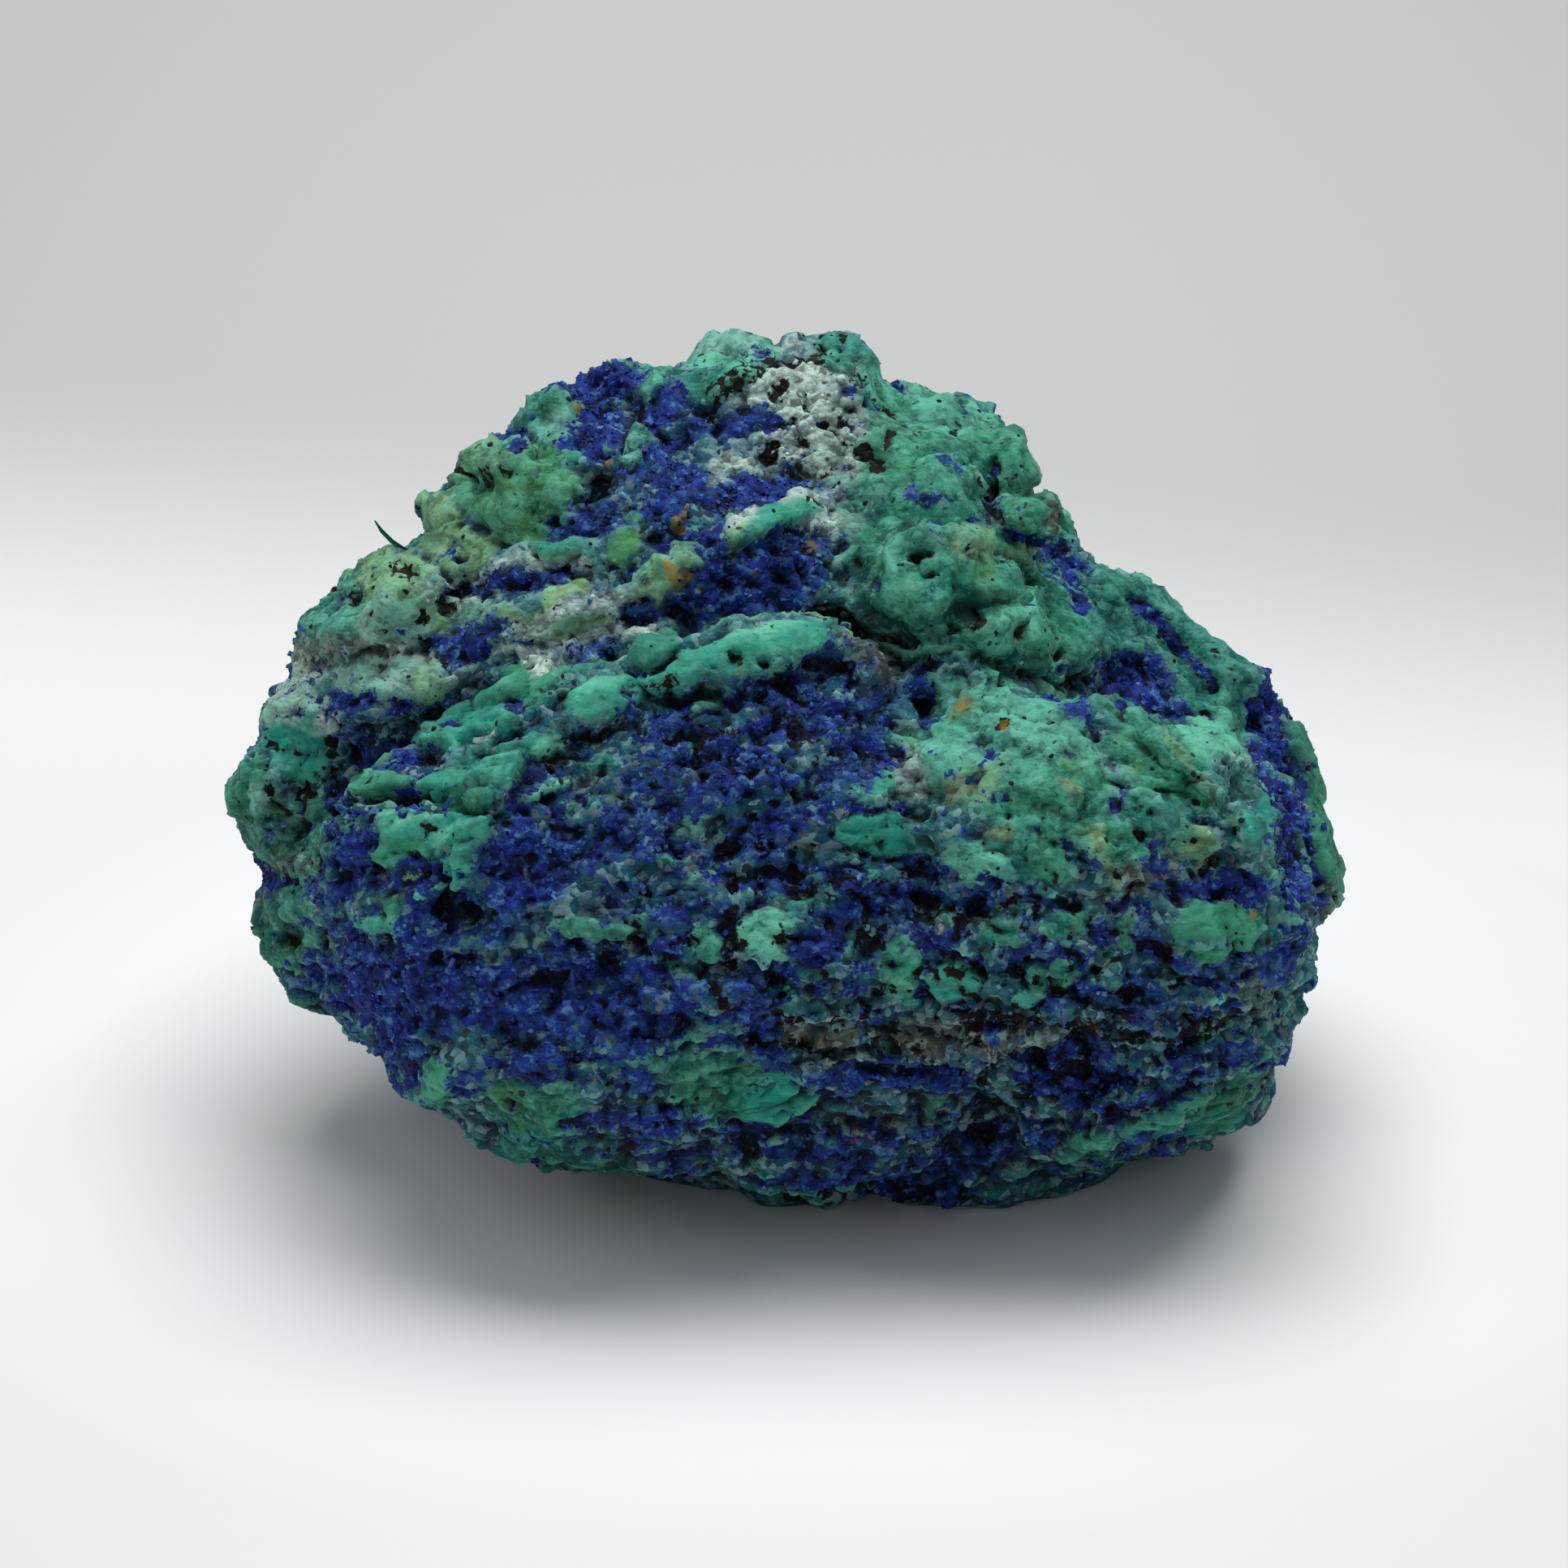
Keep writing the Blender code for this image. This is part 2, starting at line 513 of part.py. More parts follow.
def features(points, normals):
    """Height of the ledges, grooves and pits of the show face at each point."""
    x, y, _ = to_face(points)
    facing = smooth_step(-0.15, 0.25, normals @ OUTWARD)
    height = np.zeros(len(points))
    for line in LEDGES:
        distance, side = distance_to_line(x, y, line.points)
        reach = np.where(side < 0, line.above, line.below)
        height += line.height * (1 - smooth_step(0, 1, distance / reach))
    for line in GROOVES:
        distance, _ = distance_to_line(x, y, line.points)
        height += line.height * np.exp(-((distance / line.above) ** 2))
    for pit in PITS:
        distance = np.hypot(x - pit.x, y - pit.y)
        height -= pit.depth * (1 - smooth_step(0.3, 1.3, distance / pit.radius))
    return height * facing


def bedding(points):
    """The bed that each point is in, as a height. The beds arch over the lump's middle."""
    up = points @ UP_FACE
    across = points @ ACROSS - 3.0
    arch = 0.012 * np.clip(0.5 + up / 30, 0, 1.4)
    return up + arch * across**2


def bed_strength(points, normals):
    """Beds show low on the show face, on the right dome and on the hidden sides."""
    x, y, _ = to_face(points)
    low = smooth_step(57.0, 62.0, y)
    dome = 0.5 * smooth_step(60.0, 66.0, x) * smooth_step(38.0, 44.0, y)
    hidden = 0.6 * smooth_step(0.1, -0.3, normals @ OUTWARD)
    return np.maximum(np.maximum(low, dome), np.maximum(hidden, 0.15))


def relief(points, normals):
    """Height of the all-over relief at each point: swells, chunks, knobs and beds."""
    beds = bedding(points)
    shown = bed_strength(points, normals)
    height = np.empty(len(points))
    for i, p in enumerate(points):
        at = Vector(p)
        swell = noise.noise(at / SWELL[1])
        cells, _ = noise.voronoi(at / CHUNKS[1])
        chunk = 0.5 - cells[0] - 0.6 * max(0.0, 0.25 - (cells[1] - cells[0]))
        knob = noise.noise(at / KNOBS[1] + Vector((9, 3, 5)))
        wander = 1.4 * noise.noise(at / 12 + Vector((4, 7, 1)))
        step = abs(((beds[i] / BED_SPACING + wander) % 1) - 0.5) * 2
        strength = shown[i] * max(0.0, 0.6 + 1.2 * noise.noise(at / 15))
        height[i] = (
            SWELL[0] * swell
            + CHUNKS[0] * chunk
            + KNOBS[0] * knob
            + BED_HEIGHT * strength * (2 * step**0.5 - 1)
        )
    return height


def rock_mesh():
    """The lump's mesh in millimetres from the grid's centre, before its underside is cut flat."""
    bm = main_masses()
    base = fused(bm, MASS_VOXEL)
    tree = BVHTree.FromPolygons(
        [v.co for v in base.vertices], [p.vertices[:] for p in base.polygons]
    )
    add_shown_lumps(bm, tree)
    add_hidden_lumps(bm, tree)
    mesh = fused(bm, LUMP_VOXEL)
    bm.free()
    bpy.data.meshes.remove(base)
    relax(mesh, 3)
    write_points(mesh, fit_outline(break_off(read_points(mesh))))
    points, normals = read_points(mesh), read_normals(mesh)
    height = features(points, normals) + relief(points, normals)
    write_points(mesh, points + normals * height[:, None])
    relax(mesh, 1)
    write_points(mesh, fit_outline(read_points(mesh)))
    relax(mesh, 1)
    return mesh


def decimated(mesh, faces):
    body = bpy.data.objects.new("full", mesh)
    bpy.context.scene.collection.objects.link(body)
    fewer = body.modifiers.new("fewer", "DECIMATE")
    fewer.ratio = faces / (2 * len(mesh.polygons))
    small = bpy.data.meshes.new_from_object(
        body.evaluated_get(bpy.context.evaluated_depsgraph_get())
    )
    bpy.data.objects.remove(body)
    return small


def cut_flat(mesh):
    """Cuts the underside off at Z = 0 and closes it with one flat face."""
    bm = bmesh.new()
    bm.from_mesh(mesh)
    bmesh.ops.triangulate(bm, faces=bm.faces)
    bmesh.ops.bisect_plane(
        bm,
        geom=bm.verts[:] + bm.edges[:] + bm.faces[:],
        plane_co=(0, 0, 0),
        plane_no=(0, 0, -1),
        clear_outer=True,
        dist=1e-4,
    )
    rim = [edge for edge in bm.edges if edge.is_boundary]
    bmesh.ops.holes_fill(bm, edges=rim, sides=0)
    bmesh.ops.dissolve_degenerate(bm, edges=bm.edges, dist=0.01)
    bmesh.ops.triangulate(bm, faces=bm.faces)
    bmesh.ops.recalc_face_normals(bm, faces=bm.faces)
    bm.to_mesh(mesh)
    bm.free()


def ore_material():
    """Blue and green copper ore with a dull, slightly waxy surface."""
    material = bpy.data.materials.new("copper_ore")
    material.use_nodes = True
    shader = material.node_tree.nodes["Principled BSDF"]
    shader.inputs["Base Color"].default_value = (0.045, 0.14, 0.24, 1)
    shader.inputs["Roughness"].default_value = 0.7
    shader.inputs["Metallic"].default_value = 0.0
    return material


def build():
    for old in list(bpy.data.objects):
        bpy.data.objects.remove(old)
    collection = bpy.data.collections.new(COLLECTION)
    bpy.context.scene.collection.children.link(collection)
    mesh = decimated(rock_mesh(), FACES_KEPT)
    mesh.transform(Matrix.Translation((*MIDDLE_SHIFT, MIDDLE_HEIGHT)))
    cut_flat(mesh)
    mesh.name = NODE
    mesh.transform(Matrix.Scale(MM, 4))
    mesh.materials.append(ore_material())
    collection.objects.link(bpy.data.objects.new(NODE, mesh))


build()
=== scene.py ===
"""Azurite specimen: the fine surface, grains, finishes, stage and light of one lump of copper ore.

Places on the show face are millimetres right of and below the corner of a square grid that frames
the lump, as its source has them, and "out" is millimetres towards the viewer.
"""

import math
from typing import NamedTuple

import bmesh
import bpy
import numpy as np
from mathutils import Matrix, Vector, noise


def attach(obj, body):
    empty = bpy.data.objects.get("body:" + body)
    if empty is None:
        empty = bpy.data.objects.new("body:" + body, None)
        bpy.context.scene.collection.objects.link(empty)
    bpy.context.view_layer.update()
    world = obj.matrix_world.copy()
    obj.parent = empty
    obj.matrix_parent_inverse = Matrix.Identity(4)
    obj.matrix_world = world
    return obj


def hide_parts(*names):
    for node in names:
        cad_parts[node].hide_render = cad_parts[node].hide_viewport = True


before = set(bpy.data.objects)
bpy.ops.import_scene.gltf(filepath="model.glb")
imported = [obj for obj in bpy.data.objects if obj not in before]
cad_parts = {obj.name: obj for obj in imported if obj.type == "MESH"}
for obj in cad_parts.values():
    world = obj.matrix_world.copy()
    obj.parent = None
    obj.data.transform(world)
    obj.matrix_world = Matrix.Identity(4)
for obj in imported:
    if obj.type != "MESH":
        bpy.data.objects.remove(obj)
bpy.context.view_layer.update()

NODE = "azurite_rock"
MM = 0.001

GRID_SIDE = 96.6
HALF_GRID = GRID_SIDE / 2
VIEW_DISTANCE = 600.0
LEAN = math.radians(24.0)
MIDDLE = np.array((-0.285, -1.098, 22.6))
ACROSS = np.array((1.0, 0.0, 0.0))
UP_FACE = np.array((0.0, math.sin(LEAN), math.cos(LEAN)))
OUTWARD = np.array((0.0, -math.cos(LEAN), math.sin(LEAN)))

SKIN_VOXEL = 0.3
SKIN_SMOOTHING = 11
SKIN_TRIANGLES = 196_000
NEAR_PASSES, WIDE_PASSES = 6, 40
BED_STRETCH = 2.3
BED_ARCH, ARCH_MIDDLE = 0.0078, 1.7
LOW_SIZE, MID_SIZE, FINE_SIZE, TINY_SIZE = 4.5, 1.9, 0.9, 0.6
BIG_CHIP, SMALL_CHIP, TINY_CHIP, NUGGET = 2.1, 1.15, 0.7, 1.35
CRUST_RAGGED, OXIDE_RAGGED, RAGGED_EDGE = 0.4, 0.62, 0.2
SEED = 11
HIDDEN_CRUSTS, HIDDEN_AZURITES, HIDDEN_OXIDES, HIDDEN_RUSTS = 110, 46, 120, 36


def tone(red, green, blue):
    """A linear colour from its 0 to 255 display values."""
    return tuple(
        (c / 255 / 12.92) if c / 255 <= 0.04045 else ((c / 255 + 0.055) / 1.055) ** 2.4
        for c in (red, green, blue)
    )


CRUST_TONES = {
    "teal": tone(10, 114, 98),
    "bright_teal": tone(26, 148, 128),
    "jade": tone(48, 140, 104),
    "green": tone(14, 106, 76),
    "deep_green": tone(6, 60, 48),
    "leaf": tone(148, 186, 122),
    "moss": tone(72, 142, 70),
    "mint": tone(106, 200, 168),
    "frost": tone(160, 208, 194),
    "mist": tone(32, 82, 106),
    "sky": tone(84, 130, 176),
    "matrix": tone(92, 150, 154),
    "chalk": tone(204, 226, 212),
    "tan": tone(104, 90, 70),
    "ochre": tone(138, 122, 54),
}
GRANULAR = ("matrix", "chalk", "tan", "mist", "sky")
HIDDEN_TONES = ("teal", "teal", "bright_teal", "jade", "green", "green", "deep_green", "leaf", "moss",
                "mint", "mint", "matrix", "chalk", "tan")
NUGGET_TONES = ("teal", "mist", "matrix", "bright_teal", "mist", "mint", "teal", "mist")


class Patch(NamedTuple):
    """An irregular patch of one mineral on the show face."""

    x: float
    y: float
    half_x: float
    half_y: float
    amount: float = 1.0
    roll: float = 0.0


class Crust(NamedTuple):
    """A crust of one tone, with how much it covers, its turn and how proud it stands."""

    tone: str
    x: float
    y: float
    half_x: float
    half_y: float
    amount: float = 1.0
    roll: float = 0.0
    proud: float = 0.25


class Vein(NamedTuple):
    """A band of one mineral that follows points on the show face."""

    half_width: float
    amount: float
    points: tuple


class Dent(NamedTuple):
    """A pit in the show face, or a lump where its depth is negative."""

    x: float
    y: float
    half_x: float
    half_y: float
    depth: float
    roll: float = 0.0


def rows(kind, *plain_rows):
    """A table of one kind from its plain rows, whose last values may be left to the defaults."""
    return tuple(kind(*row) for row in plain_rows)


# Broad grounds, laid first, that azurite spreads over.
GROUNDS = rows(
    Crust,
    ("matrix", 24, 41, 9, 6, 0.8, 20, 0), ("matrix", 40, 34, 12, 5, 0.7, 10, 0),
    ("mist", 41.6, 29.6, 6, 4.4, 0.85, 0, 0), ("mist", 45, 48.6, 9.5, 6.5, 0.7, 0, 0),
    ("mist", 33.6, 53.4, 6, 5, 0.85, 0, 0), ("mist", 28, 47.6, 8, 6, 0.7, 0, 0),
    ("mist", 32, 62.4, 10, 4, 0.7, 0, 0), ("mist", 60, 61, 16, 6, 0.5, 0, 0),
)

CRUSTS = rows(
    Crust,
    # the pale peak
    ("chalk", 50.6, 27.4, 5.4, 5.8, 1, -10, 0), ("chalk", 46, 29, 3.4, 1.6, 0.8, 30, 0),
    ("chalk", 51.4, 31.6, 2.2, 1.6, 0.9, 0, 0), ("chalk", 48.4, 34.6, 3, 0.9, 0.8, 20, 0),
    ("bright_teal", 48.3, 32, 1.7, 0.65, 1, 15, 0.3), ("sky", 50.6, 30.2, 1.8, 0.7, 0.6, 0, 0),
    ("sky", 46.6, 27.6, 1.2, 0.8, 0.7, 0, 0), ("mist", 52.8, 31, 1.4, 0.8, 0.7, 0, 0),
    ("green", 54.2, 24.4, 1.8, 1.3, 1, -45),
    # the dome below the peak, and the knobs down its right side
    ("jade", 57.4, 28.6, 4.4, 4.4, 0.95), ("mint", 56.6, 24.6, 4, 1.5, 0.9, -25),
    ("teal", 52.6, 21.6, 2.8, 1.3), ("jade", 62.3, 28.2, 2.3, 2.6), ("mint", 61, 25.6, 2, 1, 0.8, -30),
    ("green", 64.2, 31.8, 2.8, 2.5, 1, -30), ("teal", 53.4, 32.4, 2.2, 2.4, 0.7),
    # the crest left of the peak
    ("mint", 44.6, 21.8, 3.2, 1.5), ("frost", 44.4, 21.2, 2.4, 0.8, 0.9),
    ("teal", 43, 24.2, 2.6, 1.1, 0.9, 15), ("mint", 34.6, 25.8, 2.3, 2, 1, 20),
    ("frost", 34.8, 26.6, 1.2, 1.2, 0.6), ("jade", 33.4, 24.6, 1.6, 1.2, 0.9, 30),
    # knobs of the left shoulder, and the slope between them and the peak
    ("moss", 31.9, 29.6, 4, 2.6), ("moss", 33, 31.8, 2.2, 1.6), ("leaf", 29.6, 28.2, 2.2, 1, 0.8, 20),
    ("leaf", 26.8, 31.6, 1.9, 1.1, 1, 10), ("leaf", 28.4, 33.8, 2.4, 1.5, 0.9),
    ("leaf", 24.6, 37.2, 3.1, 3.2, 1, 20), ("jade", 20.6, 38, 2, 2.8, 0.8),
    ("teal", 34.5, 34.2, 2.3, 1.7, 1, 10, 0.45), ("moss", 38.5, 33.4, 1.5, 1.2, 1, 45, 0.4),
    ("bright_teal", 48.4, 31.9, 2.3, 0.9, 0.9, 20, 0.2), ("leaf", 32.4, 38.6, 3.2, 1, 0.9, 10, 0.3),
    ("frost", 29.6, 37.4, 1.8, 0.7, 0.9, 10, 0.2), ("leaf", 34.8, 36.8, 1.4, 0.6, 0.9, 20, 0.3),
    ("frost", 38.8, 36.4, 1.2, 0.6, 0.9, 20, 0.3), ("leaf", 30.6, 33.4, 1.2, 0.6, 0.8, 0, 0.2),
    ("chalk", 37.4, 37.6, 3.4, 1.2, 0.8, 14, 0.1),
    # the pale shelf, and the teal sheets that step down to the left
    ("chalk", 24.2, 41, 5, 2.4, 1, 5, 0), ("chalk", 18.6, 42.6, 2.6, 2.8, 1, 50, 0),
    ("frost", 18.4, 43.4, 1.6, 1.3, 0.7, 40, 0.1), ("frost", 21.6, 42, 1.9, 1.5, 0.9, 20, 0.1),
    ("frost", 24.6, 42.2, 2, 1.2, 0.9, 0, 0.1), ("leaf", 26.6, 42.2, 1, 1.2, 0.7),
    ("frost", 24.4, 38.4, 2.4, 1.2, 0.8, 0, 0), ("chalk", 31, 35.6, 5.6, 1.2, 0.9, 8, 0),
    ("chalk", 33.4, 39, 4.4, 1.3, 0.9, 16, 0.1), ("leaf", 36.4, 38.6, 2.4, 0.8, 0.8, 16, 0.2),
    ("chalk", 41.4, 36, 3, 1, 0.9, 24, 0.1), ("teal", 30.6, 43.5, 3.2, 1.2, 1, 16, 0.3),
    ("bright_teal", 29.8, 44.9, 2.2, 0.6, 1, 8, 0.4), ("jade", 33, 41.8, 2.2, 0.8, 1, 20, 0.3),
    ("teal", 36.4, 40.6, 1.7, 0.7, 1, 25, 0.3), ("teal", 40.2, 39.8, 1.5, 1.1, 1, 20, 0.4),
    ("bright_teal", 37, 43.3, 2.2, 1.1, 1, 15, 0.5), ("mint", 37.2, 42.8, 1.5, 0.4, 0.7, 15, 0.5),
    ("bright_teal", 40.2, 42.2, 1.9, 0.6, 1, 35, 0.4), ("mint", 33.6, 45.9, 1.5, 0.8, 0.9, 20, 0.3),
    ("bright_teal", 27.3, 45.6, 1.6, 0.7, 0.9, 0, 0.2), ("teal", 30, 47.3, 2.9, 1.3, 1, 8, 0.1),
    ("jade", 23.4, 48.7, 2.2, 0.8, 1, 4, 0.3), ("bright_teal", 27.6, 48.7, 2.3, 0.8, 1, 5, 0.4),
    ("green", 28.8, 49.3, 1.3, 0.5, 1, 0, 0.4), ("bright_teal", 26.4, 51.1, 3.4, 1.3, 1, 4, 0.3),
    ("mint", 25, 50.5, 2, 0.5, 0.8, 10, 0.3), ("jade", 25, 52.6, 2.2, 0.9, 1, 12, 0.3),
    ("mint", 28.4, 51.5, 1.2, 0.6, 0.8, 30, 0.3), ("bright_teal", 28.5, 53.5, 2.1, 0.8, 1, 50, 0.4),
    ("teal", 33.6, 48.9, 1.6, 0.4, 1, 25, 0.2), ("teal", 37.2, 46.9, 1, 0.5, 0.9),
    ("jade", 39.2, 45.7, 0.9, 0.6, 1, -10, 0.3), ("green", 40.9, 44, 0.9, 0.5, 1, 15, 0.2),
    ("leaf", 25, 54.3, 0.8, 0.3),
    # the thick lip
    ("bright_teal", 43.2, 41, 2.5, 0.9, 1, 38, 0.4), ("bright_teal", 48.2, 39.7, 3.6, 0.9, 1, 3, 0.4),
    # the thin mint strip along the lip's top edge, (47, 39.2), is a painted highlight
    ("teal", 46.4, 41, 2.7, 0.9, 1, 10, 0.3), ("mint", 47, 39.2, 2.4, 0.4, 0.9, 4, 0.4),
    ("jade", 44.8, 42.6, 1.2, 0.5, 0.8, 0, 0),
    # flecks on the block below the lip
    ("moss", 43, 53.2, 0.7, 1, 0.8, 0, 0), ("sky", 54.4, 42.6, 2.2, 2, 0.8, 0, 0),
    ("bright_teal", 50.8, 44.4, 0.8, 0.4), ("mint", 56, 45.5, 0.9, 0.4), ("mint", 50, 48.5, 0.6, 0.5),
    ("mint", 50.5, 50.1, 0.5, 0.4), ("deep_green", 46.8, 46.5, 0.9, 0.6),
    # the left lobes
    ("bright_teal", 18.4, 46, 1.8, 2, 1, 30, 0.1), ("green", 15.6, 49.4, 1.6, 3.4, 1, 0, 0.1),
    ("frost", 16.2, 48.8, 0.7, 0.8, 0.8, 0, 0), ("deep_green", 18.6, 51.4, 2.9, 2.3, 1, 0, 0.1),
    ("tan", 18, 53, 1.4, 0.7, 0.7, 0, 0), ("moss", 18.8, 54, 1.2, 0.5), ("green", 18, 57, 2.2, 2.8, 0.9),
    ("deep_green", 17.6, 57.6, 0.8, 0.8), ("mint", 23.4, 57.2, 1.1, 0.7),
    # the upper-right lump
    ("green", 56.4, 35.2, 4.2, 3.6, 1, 0, 0.2), ("green", 61.4, 36.6, 5.4, 4.2, 1, -15, 0.2),
    ("deep_green", 53.4, 36, 1, 1.5, 0.9, 30, 0), ("mint", 52.2, 34.2, 1, 0.8, 0.8),
    ("mint", 55.2, 34.6, 0.5, 1, 0.7), ("deep_green", 56.6, 34.2, 1.2, 0.8, 0.8, 0, 0),
    ("jade", 56.3, 36.2, 0.9, 0.7, 1, 0, 0.1), ("teal", 58, 36, 1.3, 1.2, 0.9, 0, 0.1),
    ("leaf", 60.2, 33.8, 1.6, 1.1, 0.7), ("leaf", 63.2, 34.4, 0.9, 0.8, 0.8),
    ("moss", 60.4, 35.8, 0.9, 1.2, 0.7), ("mint", 61.6, 38.8, 1.8, 1.2, 0.9, 30, 0.2),
    ("mint", 62.9, 38.4, 0.6, 1.3, 0.9, 15, 0.3), ("jade", 64.4, 39.6, 0.8, 2, 0.9, 10, 0.2),
    ("ochre", 62.4, 39.2, 0.5, 0.6, 0.8), ("deep_green", 59.4, 38.4, 1.2, 1, 0.9, 0, 0),
    ("jade", 66.4, 39, 1.2, 1.8, 0.8), ("mint", 57.4, 40, 3, 0.35, 0.9, -3, 0.3),
    ("tan", 53.4, 40.4, 1.8, 1, 0.7, -30, 0),
    # the right dome
    ("mint", 62, 46.2, 6, 4.6, 0.9, 0, 0.1), ("jade", 66.4, 50.4, 5, 3, 0.8, -20, 0.1),
    ("mint", 64.4, 41.8, 2.4, 0.7, 1, -30, 0.2), ("jade", 61.4, 49, 3, 1.4, 0.8),
    ("leaf", 60.6, 48.4, 1.3, 1.3, 0.8), ("ochre", 59, 48.9, 0.8, 0.9, 0.9),
    ("ochre", 60.2, 48.4, 0.5, 0.5, 0.9), ("ochre", 59.3, 43.5, 0.6, 0.9, 0.8),
    ("ochre", 65.9, 48.8, 0.8, 0.4, 0.8, -40), ("moss", 66, 47.2, 0.5, 0.6),
    ("deep_green", 68.4, 45.8, 0.9, 0.8), ("teal", 69.8, 46.8, 1.6, 0.8, 0.8, -20, 0.1),
    ("jade", 71.6, 46.8, 4.6, 2, 1, -38, 0.1), ("tan", 74.6, 48.8, 0.9, 0.6, 0.8, -40, 0),
    ("leaf", 72.4, 46.4, 1.6, 0.3, 0.6, -38, 0.2), ("bright_teal", 53.8, 48.3, 1.9, 1.2, 1, 0, 0.2),
    ("bright_teal", 54, 51.3, 2.1, 1.4, 1, 0, 0.2), ("teal", 63.2, 52.6, 3.6, 1.5, 0.9),
    ("jade", 64.5, 52.7, 1.9, 1.5, 1, 0, 0.2), ("mint", 60, 53, 1.6, 1.1),
    ("ochre", 61.8, 51.6, 0.6, 0.4, 0.8), ("mint", 74.9, 45.3, 2.5, 1.8, 1, -10, 0.3),
    ("frost", 77.2, 46.9, 1.4, 0.6, 0.8, 0, 0.3), ("leaf", 76, 43.4, 1.6, 0.4, 0.8, 5),
    ("deep_green", 76.1, 49.4, 0.9, 1.7, 1, -20, 0), ("bright_teal", 77.8, 50.2, 0.8, 2.2, 1, -15, 0.2),
    ("leaf", 73.6, 51.3, 1.2, 0.5, 0.8, 0, 0.3), ("chalk", 56, 47.8, 0.8, 2, 0.8, 0, 0),
    ("leaf", 73.6, 52, 1.3, 0.6, 0.9), ("ochre", 73.8, 53.2, 0.5, 0.4, 0.9),
    ("teal", 71.6, 50.4, 2, 1, 0.8, -20), ("mint", 79.2, 54.6, 0.7, 1.8, 1, 50, 0.2),
    # behind the right dome
    ("teal", 69.8, 38.4, 4.2, 3.2, 0.9, -30, 0.1), ("teal", 74.8, 41.4, 4, 2.4, 0.9, -40, 0.1),
    ("green", 81.4, 50, 1.5, 6.8, 1, 8, 0.3),
    # lumps and lenses across the middle, right to left
    ("jade", 75, 57.2, 2.5, 2.1, 1, 0, 0.3), ("teal", 69.7, 57.5, 0.8, 1.3), ("teal", 65.6, 57, 1.2, 0.9),
    ("teal", 62, 57.6, 1.4, 0.8), ("jade", 55.6, 59.4, 1.3, 2.1), ("bright_teal", 58.6, 60.6, 1.4, 1),
    ("bright_teal", 62.8, 61.8, 0.8, 0.6), ("teal", 63.9, 60.8, 0.8, 0.9), ("green", 65.6, 60.2, 0.8, 1),
    ("mint", 47.4, 57.6, 1.4, 1.7), ("teal", 43.5, 58.2, 1, 1.1), ("bright_teal", 47, 61.3, 1.6, 0.7),
    ("teal", 42, 60.5, 1.1, 0.5), ("matrix", 45.6, 60.6, 2.2, 0.4, 0.8, -25, 0),
    ("green", 36.8, 57.3, 2.5, 0.8, 1, -8), ("chalk", 38, 59, 1.4, 0.35, 1, 0, 0),
    ("chalk", 30, 59.8, 1.7, 0.8, 1, 0, 0), ("bright_teal", 23.3, 57.4, 1.4, 0.7, 1, -5, 0.4),
    ("jade", 24, 56, 0.7, 0.8), ("teal", 18.6, 61.6, 0.8, 0.6),
    # tan and chalk along the seams and on the flanks
    ("tan", 58.5, 64, 4.6, 0.9, 0.8, 0, 0),
    ("tan", 20.2, 40.2, 2.6, 1.1, 0.7, 0, 0), ("tan", 81, 55.5, 1.5, 1.2, 0.8, 0, 0),
    ("tan", 54.4, 41.4, 1.4, 1.1, 0.7, 0, 0), ("tan", 77, 61, 1.6, 1.8, 0.6, 20, 0),
    ("tan", 70.6, 54, 2.4, 1.1, 0.8, 5, 0), ("tan", 49.6, 64, 3.4, 0.7, 0.9, -4, 0),
    ("tan", 57.6, 63.4, 2.4, 1.1, 0.9, 0, 0), ("tan", 63, 64.4, 3.4, 0.8, 0.9, 0, 0),
    ("tan", 58.6, 56.4, 2.6, 0.9, 0.7, 0, 0), ("chalk", 52.6, 65.6, 2.6, 0.5, 0.9, 0, 0),
    ("chalk", 64.6, 64.4, 2.4, 0.3, 0.8, 0, 0), ("chalk", 49.4, 63, 2.2, 0.4, 0.8, 0, 0),
    ("chalk", 55, 54.6, 1.2, 0.5, 0.7, 0, 0),
    # the lower edge, left to right
    ("jade", 27, 66.8, 1.3, 1.4, 1, 0, 0.3), ("green", 33.2, 68.3, 3.4, 2.2, 1, -15, 0.2),
    ("teal", 32.5, 71, 2.4, 1.5, 1, 0, 0.2), ("moss", 31.4, 67.4, 1.2, 0.8, 0.8),
    ("deep_green", 36.8, 71.4, 2.6, 1.1), ("green", 40.8, 64.5, 1.1, 0.9), ("jade", 40, 69.8, 1.1, 0.8),
    ("teal", 41.6, 65.2, 2.4, 1.2, 1, -10, 0.1), ("green", 44.6, 66.8, 3.6, 2, 1, -8, 0.2),
    ("bright_teal", 47.8, 67.8, 2.3, 1.2, 1, 10, 0.3), ("jade", 43.4, 66, 1.4, 0.7, 0.8),
    ("moss", 53, 70.8, 1.4, 0.7, 0.8), ("moss", 58, 68.6, 1.3, 0.8, 0.8), ("green", 67.2, 70.8, 1.8, 0.9),
    ("teal", 73.2, 69.3, 3.8, 0.7, 1, 14, 0.3), ("green", 74.6, 68, 2.5, 0.7, 1, 14, 0.4),
    ("green", 76.9, 66.2, 0.9, 1.7, 1, -30, 0.2), ("chalk", 45.4, 72.4, 1.8, 0.5, 0.7, 0, 0),
)

